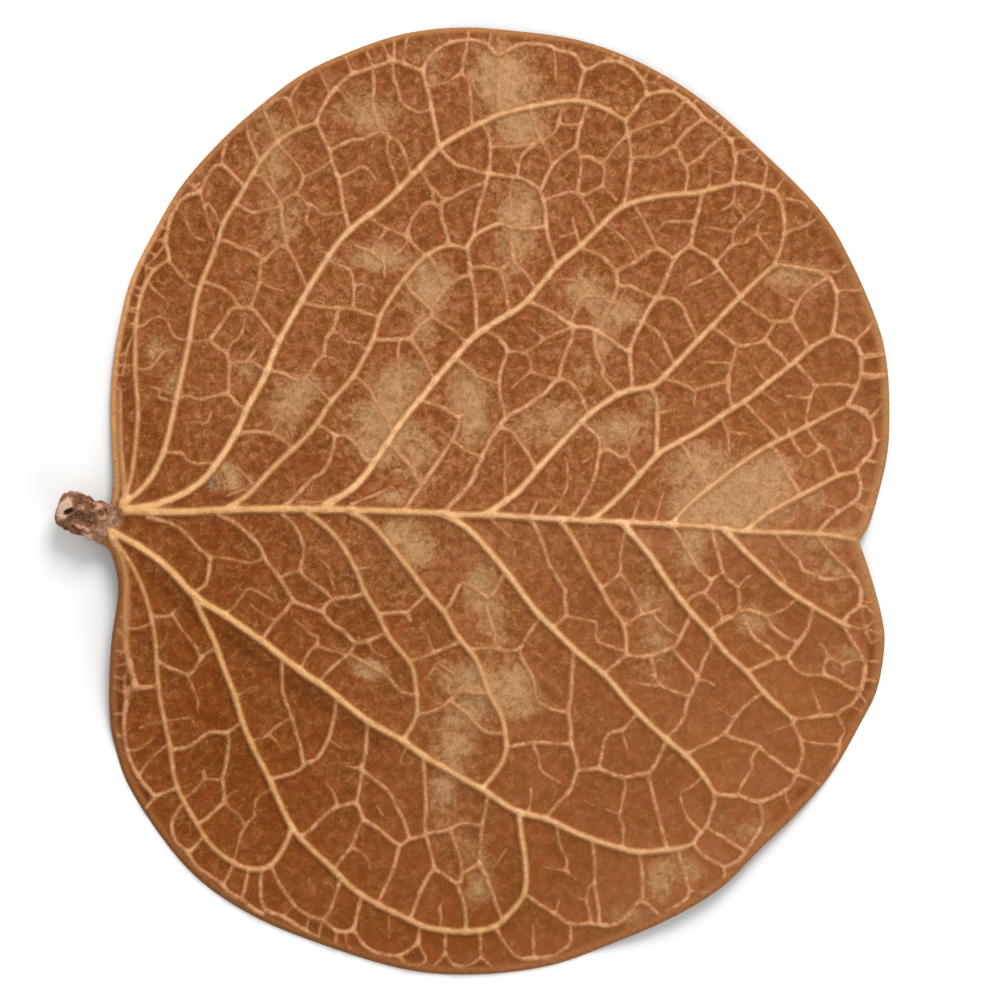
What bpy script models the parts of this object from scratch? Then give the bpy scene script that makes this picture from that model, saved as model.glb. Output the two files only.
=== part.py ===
"""A dried orchid tree leaf, lying with its veined underside up.

One body: a rounded blade with a shallow notch at its tip and raised veins, and the corky stump of its
stalk. The functions work in millimetres and the last step makes metres of them. The leaf lies along X,
stalk at -X, and its origin is the middle of its footprint, at the height of the surface it lies on.

Edge and veins are drawn on a flat sheet in steps of 0.1 mm: x runs from stalk to tip, y runs across.
A vein is written as its width at each end and then its points, all in those steps.
"""
import bmesh
import bpy
import numpy as np
from mathutils.geometry import delaunay_2d_cdt

SHEET_STEP = 0.1
SHEET_CENTRE = (472.3, 501.2)
HALF_SHEET = (45, 50)

# The blade: a low dome, folded along the midrib. MIDRIB_LINE is the fold's y at x = 0 and its slope.
THICKNESS = 0.65
DOME_HEIGHT = 4.0
RIM_LIFT = 0.4
DOME_CENTRE = (2.8, 0.0)
DOME_RADII = (39.2, 47.6)
FOLD_HEIGHT = 1.4
FOLD_REACH = 9.0
FOLD_ROUNDING = 1.5
MIDRIB_LINE = (-2.1, -0.03)
# Each wave of the margin: its height, how fast it grows outwards, how many go round, its turn in degrees.
WAVES = ((1.6, 3, 3, 8.0), (0.5, 4, 7, 20.0), (0.25, 6, 11, 47.0))
QUILT_DEPTH = 0.45
QUILT_REACH = 3.0
TOUCH_DOWN = 0.8

# The veins stand up as low round ridges, a little wider at the foot than the vein is.
RIDGE_PER_WIDTH = 1.24
RIDGE_FOOT = 0.3

# How far apart the net's points stand on the edge, the veins and the field, and how close they may come.
EDGE_SPACING = 2.2
NERVE_SPACING = 2.0
LOOP_SPACING = 2.3
FIELD_SPACING = 3.6
FIELD_GAP = 2.16
RIM_INSET = 1.0
LEAST_GAP = 0.5
FLANK_CLEARANCE = 0.9
CURVE_STEPS = 8

# The stalk's stump, cut across at stations along x. Each knob is its count round the stalk and its pitch.
STALK_X = (5.46, 5.9, 6.8, 8.0, 9.2, 10.6, 12.0, 13.5, 15.6)
STALK_Y = (51.4, 51.3, 51.3, 51.5, 51.9, 52.3, 52.3, 51.8, 51.3)
STALK_HALF_WIDTH = (0.0, 1.45, 2.1, 2.15, 2.1, 2.3, 2.1, 1.3, 0.3)
STALK_HALF_HEIGHT = (0.0, 1.3, 1.75, 1.7, 1.6, 1.65, 1.5, 1.0, 0.3)
STALK_RISE = 2.55
STALK_RINGS = 11
STALK_SIDES = 16
KNOB_HEIGHT = 0.06
KNOBS = ((3, 2.1), (5, -1.3))


EDGE = """
    112,497 113,475 111,440 110,400 113,360 120,320 130,280 149,240 180,187 220,141 260,105 300,75 340,55
    400,34 460,27 520,31 580,40 640,62 700,98 760,149 820,209 851,260 877,320 887,360 890,410 887,460
    871,520 859,541
    859,541 870,572 882,615 885,645 878,688 863,720 834,770 801,810 760,850 720,889 670,919 610,945 550,966
    480,975 410,971 330,948 250,915 187,869 133,795 114,745 109,705 111,645 118,595 116,570 109,550 100,544
"""
NOTCH = 28

NERVES = """
    midrib 10 6: 122,511 180,512 220,510 300,509 420,512 460,515 500,515 540,518 700,526 740,531 818,534
        850,538 858,541
    upper1 5 4: 121,503 130,480 137,412 134,380 134,345 136,309 149,272 167,260
    upper2 8 5: 122,505 138,493 151,479 165,448 176,400 190,336 194,308 200,285 213,255 219,232 226,216
        238,200 245,185 254,172 260,160 280,139 300,127 312,125 316,123
    upper3 10 6: 122,509 155,504 182,494 202,481 209,474 235,435 248,405 265,376 279,340 318,272 332,250
        348,230 370,213 385,202 430,156 437,147 465,130 480,123 500,113 545,103 575,99 603,106 625,120
    upper4 7 5: 228,506 246,496 266,473 300,441 316,424 330,400 345,385 353,377 362,358 375,335 377,318
        403,278 424,255 441,246 450,242 466,249
    upper5 10 6: 325,506 353,489 368,472 402,421 420,400 447,366 455,358 478,333 523,306 536,290 550,275
        555,266 580,247 605,222 622,206 660,196 680,194 700,194 710,189 735,184
    upper6 9 6: 485,514 507,501 528,482 534,473 580,423 597,408 626,390 642,389 651,390 656,384 663,378
        706,332 713,326 728,309 768,270 774,266
    upper7 8 6: 592,518 616,499 653,458 658,451 681,440 710,423 735,405 745,402 760,388 795,361 810,346
        832,335
    upper8 7 5: 670,523 684,507 700,493 738,464 763,447 771,444 793,432 807,426 832,411 847,406
    upper9 7 5: 745,529 768,511 810,489 840,473 856,471
    lower1 6 6: 112,540 136,574 145,592 149,609 152,617 156,645 157,675 161,706 171,751 171,760 174,781
        182,800 197,824 201,834 214,850 241,868 261,871 271,869 277,859 290,837 291,829
    lower2 10 7: 110,530 137,545 167,566 195,597 214,608 236,622 247,631 259,638 281,656 294,665 311,679
        320,682 329,690 361,716 370,723 403,740 423,756 444,767 470,783 483,788 491,795 519,813 546,817
        561,826 591,839 621,848 637,853 666,849 680,850 693,844
    lower3 7 7: 195,597 201,615 213,636 221,661 236,698 243,725 260,762 267,774 281,807 287,818 291,829
        299,836 308,847 334,870 343,881 363,897 400,916 410,919 418,926 429,929 457,932 483,931 496,929
        503,921 520,903 526,893 526,867 520,827 519,813
    middle4 6 5: 308,514 316,518 338,538 353,564 357,569 365,595 379,612 381,618 386,634 406,657 411,660
        415,675 417,704 419,715 403,740
    middle5 7 6: 352,513 360,516 375,527 418,580 427,594 445,611 449,619 457,638 471,649 474,656 480,666
        487,689 493,701 504,718 504,728 508,747 502,764 483,788
    middle6 9 7: 443,514 469,529 500,564 519,588 523,595 540,616 561,636 571,647 594,666 604,673 634,709
        666,739 686,755 706,779 714,793
    nether2 6 5: 560,521 572,537 586,563 590,573 602,587 604,595 610,608 625,624 626,655
    nether3 9 6: 622,523 650,555 662,574 690,612 709,631 726,654 747,671 764,694 783,709 791,718
    nether6 8 6: 722,531 730,537 744,553 760,567 786,591 844,626
"""

LOOPS = """
    4 4: 167,260 168,255 164,239 166,230 169,215 176,204 180,197 195,190 200,190 203,180 213,164 222,163
        232,173 244,185
    5 4: 316,123 317,118 330,94 350,75 360,71 388,62 398,61 422,71
    5 5: 316,123 329,150 331,160 340,185 342,200 348,226
    5 5: 422,71 428,92 439,146
    4 4: 422,71 423,64 428,56 442,44 460,39 480,40 487,44 497,55 505,50 520,43 540,43 550,45 555,49 562,50
        576,54 579,62 585,70 600,61 615,60 630,66 644,82 645,94
    4 4: 585,70 578,99
    5 5: 625,120 630,147 631,160 626,196 622,206
    5 4: 625,120 634,110 645,95 655,92 665,90 675,92 693,105 700,112 703,118 710,121 731,140 733,148 736,162
        734,170 732,184
    6 5: 735,184 745,183 765,189 775,192 780,200 785,222 782,245 774,266
    4 4: 286,504 291,501 314,477 323,473 332,454 335,436
    4 4: 335,436 331,432 317,424
    4 4: 335,436 347,436 359,448 362,455 367,461 375,461
    5 5: 527,303 536,306 553,315 573,328 590,329 619,348 629,353
    5 5: 629,353 632,382 631,389
    5 5: 406,508 453,439 459,417
    6 6: 445,511 470,484 478,465 493,436 507,417 524,408 547,391 552,384 558,380
    5 5: 466,249 470,278 473,290 475,312 475,337
    5 4: 466,249 474,236 480,232 497,224 503,223 508,227 530,229 546,226
    4 4: 474,236 476,218 489,170 490,141 484,127 480,123
    5 4: 439,146 446,156 458,167 466,168 484,174 520,179 530,183 541,192 546,210 548,235 557,264
    4 4: 588,103 578,135 577,148 568,153 553,166 541,190
    5 5: 774,266 782,265 812,270 820,273 828,276 837,293 835,322 832,335
    6 5: 629,353 639,330 644,322 647,314 661,293 671,270 677,257 690,247
    5 5: 690,247 692,230 700,200 700,194
    4 4: 690,247 697,252 712,260 719,270 740,297
    6 6: 651,390 657,405 656,453
    4 4: 584,427 597,438 600,447 598,460 594,480 582,506 573,517
    5 5: 832,335 840,336 855,343 862,358 858,385 847,406
    5 5: 847,406 869,417 875,442 868,457 862,463 856,471
    4 4: 856,471 860,478 859,498 838,512 825,524 818,534
    4 4: 501,337 508,351 503,365 500,380 501,395 507,417
    6 5: 134,687 145,688 158,685
    5 4: 173,789 160,795 153,797 143,809
    4 4: 148,518 178,528 199,550 206,555 210,557 209,573 206,586 194,593
    5 5: 217,514 233,522 256,543 264,560 275,573 292,601
    4 4: 292,601 284,613 277,619 263,638
    4 4: 292,601 322,612
    4 4: 283,515 295,526 304,548 300,571 305,576 311,582 325,591 330,598 334,600
    5 5: 365,594 350,599 341,598 328,604 322,612 333,626 343,631 354,644 364,643 386,634
    4 4: 354,644 349,655 341,660 325,674 320,682
    4 4: 381,614 400,612 408,613 410,620
    4 4: 408,612 426,594
    4 4: 445,611 452,601 460,583 468,585 483,595 489,599 494,592 505,573
    4 4: 411,660 421,658 459,642
    4 4: 471,649 491,648 503,651 519,649 524,639 540,616
    4 4: 519,649 521,656 533,678 535,689 537,701 554,710 568,712
    4 4: 419,715 439,709 450,701 460,691 471,692 487,693
    4 4: 450,701 467,714 481,729 490,733 503,733
    4 4: 352,656 361,661 371,669 383,673 394,686 401,692 409,695 416,695
    6 5: 573,650 571,691 568,712 570,721 571,744 575,754 577,770 570,791 563,798 546,817
    4 4: 508,747 537,742 553,744 571,744
    5 5: 577,770 589,770 599,769 624,778 637,774 649,774 654,766 665,744 666,739
    4 4: 649,774 650,784 667,849
    4 4: 599,769 602,752 606,736 615,731 623,730 638,712
    4 4: 551,627 566,614 564,598 565,590
    5 4: 530,520 535,526 545,552 549,566 554,571 557,578 565,590
    5 5: 604,673 616,664 626,655 637,657 650,656 671,648 677,643 691,614
    4 4: 671,648 687,666 697,676 696,682 686,706 683,719 666,739
    4 4: 697,676 704,655 709,649 712,635
    4 4: 625,624 633,620 641,614 651,613 661,608
    4 4: 650,656 653,664 654,675 660,685 680,694 689,696
    5 4: 686,754 724,734 731,722 737,716 741,709 764,692
    4 4: 724,734 736,739 759,746 763,752 773,758 783,766 796,774
    5 5: 714,793 727,796 739,796 750,800 761,802 784,792 793,784 796,774 803,755 801,742 791,718
    4 4: 791,718 804,719 819,716 837,715 844,709 853,705 861,690
    5 5: 844,626 863,659 866,669 861,690
    4 4: 670,526 676,532 695,564 711,581
    5 4: 711,530 720,562 722,573 733,584 738,588 739,612 733,617 721,622 711,629
    4 3: 711,581 710,588 703,593 716,604 721,615 721,622
    4 3: 711,581 722,573
    5 5: 813,608 811,622 806,634 793,651 787,658 776,659 748,672
    5 4: 787,658 800,673 826,676 839,681 849,688 861,690
    4 4: 739,611 750,611 767,616 770,625 786,638 796,642
    4 4: 739,612 749,629 754,638 771,649 779,657
    4 4: 775,535 787,550 799,559 802,571 810,573 826,580 850,576
    5 5: 818,536 832,553 847,567 859,581 862,588 861,606 851,612 844,622
    5 5: 714,793 714,804 706,827 700,833 693,844
    4 4: 693,844 705,857 724,868 724,877
    4 4: 706,827 714,833 724,837 731,843 743,850
    5 5: 526,893 533,899 557,914 570,924 589,923 611,925 624,919 634,909 641,899 660,914
    4 4: 570,924 570,946 561,950 556,956 529,959 517,958 504,943 496,929
    5 4: 592,839 595,870 594,883 599,911 599,924
    5 4: 637,853 641,871 641,899
    4 4: 678,850 680,860 684,869 686,880 689,890 687,899 667,911
    4 4: 761,802 764,823 756,837 751,846 746,851 741,860 726,867
    5 5: 299,836 308,831 331,809 341,806 356,802 363,820
    5 4: 367,723 365,756 361,768 361,779 357,801
    4 4: 363,820 359,825 353,843 344,854 334,868
    5 4: 363,820 377,828 399,846 406,841 424,835
    5 5: 399,846 393,870 381,896 378,905
    4 4: 361,770 390,793 397,807 406,823 410,838
    5 4: 423,759 426,809 424,823 425,834 429,846 434,868
    5 4: 434,868 423,886 410,919
    5 4: 434,868 456,884 465,909 466,932
    4 3: 424,834 450,830 454,826 463,823 481,826
    4 3: 450,830 459,856 462,870 458,883
    4 3: 488,794 482,827 480,854 478,865
    4 3: 478,865 461,874 457,884
    5 4: 478,865 484,871 487,880 502,920
    5 4: 171,750 186,748 194,744 210,732 227,734 231,730 241,723
    4 4: 227,734 229,741 225,769 222,781 224,801 214,811 207,819 197,824
    4 4: 158,662 169,669 180,673 189,677 194,671 203,657 209,652 217,650
    4 3: 152,617 165,618 173,616 176,611
    4 4: 271,779 291,774 300,770 303,763 307,763 317,759 329,738 331,728 334,719 336,701
    4 4: 282,660 282,686 284,698 291,716 301,751 303,763
    4 4: 181,806 171,823 174,839 180,847 188,852
    4 4: 271,869 274,877 293,906 309,917 323,921 331,929 343,933 353,930 354,923 360,897
    4 4: 353,930 367,949 389,956 400,956 414,947 418,944 419,926
    4 4: 339,880 329,911 323,921
    4 4: 261,871 259,884 261,906 269,913
    4 4: 247,871 243,894 241,899
    4 4: 445,932 445,951 446,957 454,964
    4 4: 480,932 481,957 473,964
    4 4: 233,865 225,882 222,885
    4 4: 201,840 197,845 188,852
    8 5: 112,540 115,553 125,580 126,595 124,645 134,687
    8 5: 122,497 117,440 117,410
    5 5: 122,694 134,687
    5 4: 129,690 124,720 125,745 131,765 143,785 150,792 153,797
    4 4: 188,852 191,860 199,869 221,884 227,891 234,896 241,899 254,910 262,914
    4 4: 269,913 281,916 300,928 306,930 310,934 318,937
"""


def on_leaf(points):
    """Sheet steps to millimetres round the middle of the footprint, with y turned to run the other way."""
    return (np.array(points, float) - SHEET_CENTRE) * (SHEET_STEP, -SHEET_STEP)


def sheet_points(text):
    return on_leaf([tuple(map(float, pair.split(","))) for pair in text.split()])


def smooth(points, spacing):
    """A Catmull-Rom curve through the points, read about once every spacing, with both ends kept."""
    ends = np.vstack([2 * points[0] - points[1], points, 2 * points[-1] - points[-2]])
    fine = []
    for before, start, end, after in zip(ends, ends[1:], ends[2:], ends[3:]):
        t = np.linspace(0, 1, CURVE_STEPS, endpoint=False)[:, None]
        fine.append(start + t * (end - before) / 2 + t**2 * (before - 2.5 * start + 2 * end - after / 2)
                    + t**3 * (3 * start - before - 3 * end + after) / 2)
    fine = np.vstack([*fine, points[-1:]])
    along = np.concatenate([[0], np.cumsum(np.hypot(*np.diff(fine, axis=0).T))])
    stops = np.linspace(0, along[-1], max(2, round(along[-1] / spacing) + 1))
    return np.column_stack([np.interp(stops, along, fine[:, axis]) for axis in (0, 1)])


def veins(text, spacing):
    """Each vein of the text as its smoothed centre line and its half width at each of those points."""
    entries = []
    for line in text.strip().splitlines():
        if ":" in line:
            head, line = line.split(":")
            entries.append((head.split()[-2:], []))
        entries[-1][1].append(line)
    for widths, lines in entries:
        centre = smooth(sheet_points(" ".join(lines)), spacing)
        first, last = (float(width) * SHEET_STEP / 2 for width in widths)
        yield centre, np.linspace(first, last, len(centre))


def distances(points, starts, ends):
    """Distance of every point to every segment."""
    span = ends - starts
    offset = points[:, None] - starts
    share = np.clip((offset * span).sum(2) / (span**2).sum(1), 0, 1)
    return np.hypot(*np.moveaxis(offset - share[..., None] * span, 2, 0))


def inside(points, edge, inset):
    """Whether each point lies within the edge, and at least the inset from it."""
    x, y = points.T
    ahead = np.roll(edge, -1, axis=0)
    hits = np.zeros(len(points), int)
    for (x0, y0), (x1, y1) in zip(edge, ahead):
        if y0 != y1:
            hits += ((y0 > y) != (y1 > y)) & (x < x0 + (y - y0) * (x1 - x0) / (y1 - y0))
    return (hits % 2 == 1) & (distances(points, edge, ahead).min(1) > inset)


def underside(points, nerve_distance):
    """Height of the lower face: a low dome folded along the midrib, with a waved margin.

    The waves grow towards the margin. Between the nerves the blade sinks a little, and whatever would
    reach the surface it lies on is pressed flat there: h becomes h^2 / (h + TOUCH_DOWN), and 0 below 0.
    """
    x, y = points.T
    across = (x - DOME_CENTRE[0]) / DOME_RADII[0]
    along = (y - DOME_CENTRE[1]) / DOME_RADII[1]
    reach = np.hypot(across, along)
    angle = np.arctan2(along, across)
    beside_fold = np.hypot(y - MIDRIB_LINE[0] - MIDRIB_LINE[1] * x, FOLD_ROUNDING)
    height = RIM_LIFT + DOME_HEIGHT * (1 - reach**2) + FOLD_HEIGHT * np.exp(-beside_fold / FOLD_REACH)
    for size, growth, count, turn in WAVES:
        height -= size * reach**growth * np.cos(count * (angle - np.radians(turn)))
    height -= QUILT_DEPTH * (1 - np.exp(-(nerve_distance / QUILT_REACH)**2))
    pressed = np.maximum(height, 0)
    return pressed**2 / (pressed + TOUCH_DOWN)


class Net:
    """The flat net of points and edges that the blade's two faces are split along."""

    def __init__(self, edge):
        self.points = list(edge)
        self.edges = [(i, (i + 1) % len(edge)) for i in range(len(edge))]

    def gap(self, point):
        """Distance to the nearest point so far, and its number."""
        reach = np.hypot(*(np.array(self.points) - point).T)
        return reach.min(), int(reach.argmin())

    def add_line(self, line):
        """A chain of edges, through points that are already there where they lie close by."""
        numbers = []
        for point in line:
            gap, number = self.gap(point)
            if gap > LEAST_GAP:
                number = len(self.points)
                self.points.append(point)
            numbers.append(number)
        self.edges += [pair for pair in zip(numbers, numbers[1:]) if pair[0] != pair[1]]

    def add_free(self, points, gap):
        """The points that keep the given gap to all others."""
        for point in points:
            if self.gap(point)[0] > gap:
                self.points.append(point)

    def triangles(self):
        vertices, _, faces, *_ = delaunay_2d_cdt([tuple(p) for p in self.points], self.edges, [], 1, 1e-4)
        return [(v.x, v.y) for v in vertices], faces


def leaf_edge():
    """The blade's edge, once round from the stalk, kept sharp at the notch and at the stalk."""
    corners = sheet_points(EDGE)
    upper = smooth(corners[:NOTCH], EDGE_SPACING)
    lower = smooth(corners[NOTCH:], EDGE_SPACING)
    return np.vstack([upper, lower[1:]])


def blade():
    """Both faces of the blade, split alike along the veins, and the rim between them."""
    edge = leaf_edge()
    nerves = list(veins(NERVES, NERVE_SPACING))
    ribs = nerves + list(veins(LOOPS, LOOP_SPACING))
    starts, ends = (np.vstack([line[part] for line, _ in ribs]) for part in (slice(-1), slice(1, None)))
    foot = np.concatenate([half[:-1] + RIDGE_FOOT for _, half in ribs])
    nerve_count = sum(len(line) - 1 for line, _ in nerves)

    net = Net(edge)
    for line, _ in ribs:
        net.add_line(line[inside(line, edge, LEAST_GAP)])
    for line, half in ribs:
        ahead = np.gradient(line, axis=0)
        normal = np.column_stack([-ahead[:, 1], ahead[:, 0]]) / np.hypot(*ahead.T)[:, None]
        for side in (-1, 1):
            flank = line + side * normal * (half + RIDGE_FOOT)[:, None]
            clear = distances(flank, starts, ends).min(1) > FLANK_CLEARANCE * (half + RIDGE_FOOT)
            net.add_free(flank[clear & inside(flank, edge, RIM_INSET)], LEAST_GAP)
    across, along = HALF_SHEET
    columns, rows = np.mgrid[-across:across:FIELD_SPACING, -along:along:FIELD_SPACING * np.sqrt(0.75)]
    columns += (np.arange(columns.shape[1]) % 2) * FIELD_SPACING / 2
    field = np.column_stack([columns.ravel(), rows.ravel()])
    net.add_free(field[inside(field, edge, RIM_INSET)], FIELD_GAP)

    flat, faces = net.triangles()
    points = np.array(flat)
    reach = distances(points, starts, ends)
    ridge = RIDGE_PER_WIDTH * (foot - RIDGE_FOOT) * np.maximum(0, 1 - (reach / foot)**2)
    low = underside(points, reach[:, :nerve_count].min(1))
    high = low + THICKNESS + ridge.max(1)

    mesh = bmesh.new()
    corners = [mesh.verts.new((x, y, 0)) for x, y in points]
    for face in faces:
        mesh.faces.new([corners[i] for i in face])
    lifted = bmesh.ops.extrude_face_region(mesh, geom=mesh.faces[:], use_keep_orig=True)
    for corner, height in zip(corners, low):
        corner.co.z = height
    copies = [item for item in lifted["geom"] if isinstance(item, bmesh.types.BMVert)]
    lookup = {(round(x, 5), round(y, 5)): height for (x, y), height in zip(points, high)}
    for copy in copies:
        copy.co.z = lookup[round(copy.co.x, 5), round(copy.co.y, 5)]
    bmesh.ops.recalc_face_normals(mesh, faces=mesh.faces[:])
    return mesh


def stalk():
    """The broken-off stalk: a sphere drawn out along X, blunt at the break and tapering into the midrib."""
    mesh = bmesh.new()
    bmesh.ops.create_uvsphere(mesh, u_segments=STALK_SIDES, v_segments=STALK_RINGS, radius=1)
    length = STALK_X[-1] - STALK_X[0]
    for corner in mesh.verts:
        x, y, z = corner.co
        along = STALK_X[0] + length * np.arccos(np.clip(-z, -1, 1)) / np.pi
        turn = np.arctan2(y, x)
        knobs = 1 + KNOB_HEIGHT * sum(np.sin(count * turn + pitch * along) for count, pitch in KNOBS)
        wide = np.interp(along, STALK_X, STALK_HALF_WIDTH) * knobs
        tall = np.interp(along, STALK_X, STALK_HALF_HEIGHT) * knobs
        middle = np.interp(along, STALK_X, STALK_Y)
        corner.co.x, corner.co.y = on_leaf((along / SHEET_STEP, middle / SHEET_STEP))
        corner.co.y += wide * np.cos(turn)
        corner.co.z = STALK_RISE + tall * np.sin(turn)
    bmesh.ops.recalc_face_normals(mesh, faces=mesh.faces[:])
    return mesh


def as_object(name, mesh, collection):
    """An object of the mesh, with its millimetres turned into metres."""
    bmesh.ops.scale(mesh, vec=(0.001, 0.001, 0.001), verts=mesh.verts)
    data = bpy.data.meshes.new(name)
    mesh.to_mesh(data)
    mesh.free()
    result = bpy.data.objects.new(name, data)
    collection.objects.link(result)
    return result


def dry_leaf():
    """Russet, dull and leathery."""
    material = bpy.data.materials.new("dry leaf")
    material.use_nodes = True
    shader = material.node_tree.nodes["Principled BSDF"]
    shader.inputs["Base Color"].default_value = (0.27, 0.095, 0.03, 1)
    shader.inputs["Roughness"].default_value = 0.7
    shader.inputs["Metallic"].default_value = 0.0
    return material


for old in list(bpy.data.objects):
    bpy.data.objects.remove(old)
parts = bpy.data.collections.new("dried orchid tree leaf")
cutters = bpy.data.collections.new("cutters")
bpy.context.scene.collection.children.link(parts)
bpy.context.scene.collection.children.link(cutters)

leaf = as_object("leaf", blade(), parts)
leaf.data.materials.append(dry_leaf())
stump = as_object("stump", stalk(), cutters)
stump.hide_render = True
stump.display_type = "WIRE"
joined = leaf.modifiers.new("stalk grown on", "BOOLEAN")
joined.operation = "UNION"
joined.object = stump
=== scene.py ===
"""A dried orchid tree leaf on a pale floor, its veined underside up, seen from straight above.

Shapes are worked out in millimetres and become metres as they turn into meshes. The leaf lies along X with
its stalk at -X. Its edge, veins and stains are drawn on a flat sheet in steps of 0.1 mm: x runs from stalk to
tip and y across, and the sheet's middle lies over the middle of the leaf's footprint. One step is one pixel
of the photograph. The places were read from it, and each nerve and loop was then shifted whole, by 3 steps
at most, to lie on it better.
"""

import bpy
import numpy as np
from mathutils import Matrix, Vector


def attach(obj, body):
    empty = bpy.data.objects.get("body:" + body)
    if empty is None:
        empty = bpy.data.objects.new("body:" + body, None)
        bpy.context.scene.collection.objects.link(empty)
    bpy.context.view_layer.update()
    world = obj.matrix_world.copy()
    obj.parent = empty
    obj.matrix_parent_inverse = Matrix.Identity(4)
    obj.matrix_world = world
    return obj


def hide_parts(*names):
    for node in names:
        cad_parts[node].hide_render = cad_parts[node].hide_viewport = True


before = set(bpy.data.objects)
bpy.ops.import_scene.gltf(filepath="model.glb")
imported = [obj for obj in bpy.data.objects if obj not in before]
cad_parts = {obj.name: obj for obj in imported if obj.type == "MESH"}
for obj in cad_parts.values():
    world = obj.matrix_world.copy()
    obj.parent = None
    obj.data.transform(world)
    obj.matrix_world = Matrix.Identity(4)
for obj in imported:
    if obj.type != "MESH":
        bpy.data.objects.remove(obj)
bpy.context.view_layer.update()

# The blade is one leathery sheet, grown as a single piece and dried to russet. Both its faces are one net of
# small squares, whose outermost points are drawn onto the leaf's edge, where the faces meet. The edge is two
# lobes, each smooth from the stalk to the notch of the tip, and closed by a straight stretch by the stalk.
SHEET_STEP = 0.1
SHEET_CENTRE = (472.3, 501.2)
SQUARE = 0.165
EDGE_SPACING = 0.3
EDGE_REACH = 3.0
CURVE_STEPS = 8
WEB = 0.4

EDGE = """
112,497 113,475 111,440 110,400 113,360 120,320 130,280 149,240 180,187 220,141 260,105 300,75 340,55 400,34
460,27 520,31 580,40 640,62 700,98 760,149 820,209 851,260 877,320 887,360 890,410 887,460 871,520 859,541;
859,541 870,572 882,615 885,645 878,688 863,720 834,770 801,810 760,850 720,889 670,919 610,945 550,966
480,975 410,971 330,948 250,915 187,869 133,795 114,745 109,705 111,645 118,595 116,570 109,550 100,544
"""


def on_leaf(points):
    """Sheet steps to millimetres round the middle of the footprint, with y turned to run the other way."""
    return (np.array(points, float) - SHEET_CENTRE) * (SHEET_STEP, -SHEET_STEP)


def sheet_points(text):
    """The points of a text of pairs x,y on the sheet, in millimetres."""
    return on_leaf([tuple(map(float, pair.split(","))) for pair in text.split()])


def lengths_along(line):
    """How far along the line each of its points lies: the sum of the stretches before it."""
    return np.concatenate([[0], np.cumsum(np.hypot(*np.diff(line, axis=0).T))])


def read_off(line, stops):
    """The points that lie the given lengths along the line."""
    along = lengths_along(line)
    return np.column_stack([np.interp(stops, along, line[:, axis]) for axis in (0, 1)])


def smooth(points, spacing):
    """A Catmull-Rom curve through the points, read off about once every spacing, with both ends kept."""
    ends = np.vstack([2 * points[0] - points[1], points, 2 * points[-1] - points[-2]])
    fine = []
    for before, start, end, after in zip(ends, ends[1:], ends[2:], ends[3:]):
        t = np.linspace(0, 1, CURVE_STEPS, endpoint=False)[:, None]
        fine.append(start + t * (end - before) / 2 + t**2 * (before - 2.5 * start + 2 * end - after / 2)
                    + t**3 * (3 * start - before - 3 * end + after) / 2)
    fine = np.vstack([*fine, points[-1:]])
    length = lengths_along(fine)[-1]
    return read_off(fine, np.linspace(0, length, max(2, round(length / spacing) + 1)))


lobes = [smooth(sheet_points(course), EDGE_SPACING) for course in EDGE.split(";")]
edge = np.vstack([lobes[0], lobes[1][1:]])
edge_ahead = np.roll(edge, -1, axis=0)

columns = np.arange(edge[:, 0].min() - SQUARE, edge[:, 0].max() + 2 * SQUARE, SQUARE)
rows = np.arange(edge[:, 1].min() - SQUARE, edge[:, 1].max() + 2 * SQUARE, SQUARE)
grid = np.dstack(np.meshgrid(columns, rows, indexing="ij"))


def squares_inside():
    """Whether the middle of each square is inside: a line from it along X crosses the edge an odd number of
    times."""
    middle_x, middle_y = columns[:-1] + SQUARE / 2, rows[:-1] + SQUARE / 2
    passes = np.zeros((len(middle_x), len(middle_y)), int)
    for (x0, y0), (x1, y1) in zip(edge, edge_ahead):
        first, last = np.searchsorted(middle_y, sorted((y0, y1)))
        if first < last:
            crossing = x0 + (middle_y[first:last] - y0) * (x1 - x0) / (y1 - y0)
            passes[:, first:last] += middle_x[:, None] < crossing
    return passes % 2 == 1


# A point of the net is used where at least one of the four squares round it is kept, and lies on the rim
# where not all four are.
kept = squares_inside()
around = np.pad(kept, 1).astype(int)
touching = around[:-1, :-1] + around[1:, :-1] + around[:-1, 1:] + around[1:, 1:]
used = touching > 0
on_rim = touching[used] < 4
number = np.full(used.shape, -1)
number[used] = np.arange(used.sum())
flat = grid[used]


def nearest_on_edge(points):
    """The place on the leaf's edge that is nearest to each point."""
    span = edge_ahead - edge
    offset = points[:, None] - edge
    share = np.clip((offset * span).sum(2) / (span**2).sum(1), 0, 1)
    places = edge + share[..., None] * span
    best = np.hypot(*np.moveaxis(places - points[:, None], 2, 0)).argmin(1)
    return places[np.arange(len(points)), best]


flat[on_rim] = nearest_on_edge(flat[on_rim])


def beside(start, end, reach):
    """The grid's part within reach of a straight stretch, its distance to it, and the share along it."""
    low, high = np.minimum(start, end) - reach, np.maximum(start, end) + reach
    across = slice(*np.searchsorted(columns, (low[0], high[0])))
    along = slice(*np.searchsorted(rows, (low[1], high[1])))
    offset = grid[across, along] - start
    span = end - start
    share = np.clip(offset @ span / (span @ span), 0, 1)
    return (across, along), np.hypot(*np.moveaxis(offset - share[..., None] * span, 2, 0)), share


def webbing(first, second):
    """How far two veins' flanks grow into the corner between them, fading out at the web's reach of either:
    w = (WEB - first) (WEB - second) / (4 WEB)."""
    return np.maximum(WEB - first, 0) * np.maximum(WEB - second, 0) / (4 * WEB)


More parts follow.
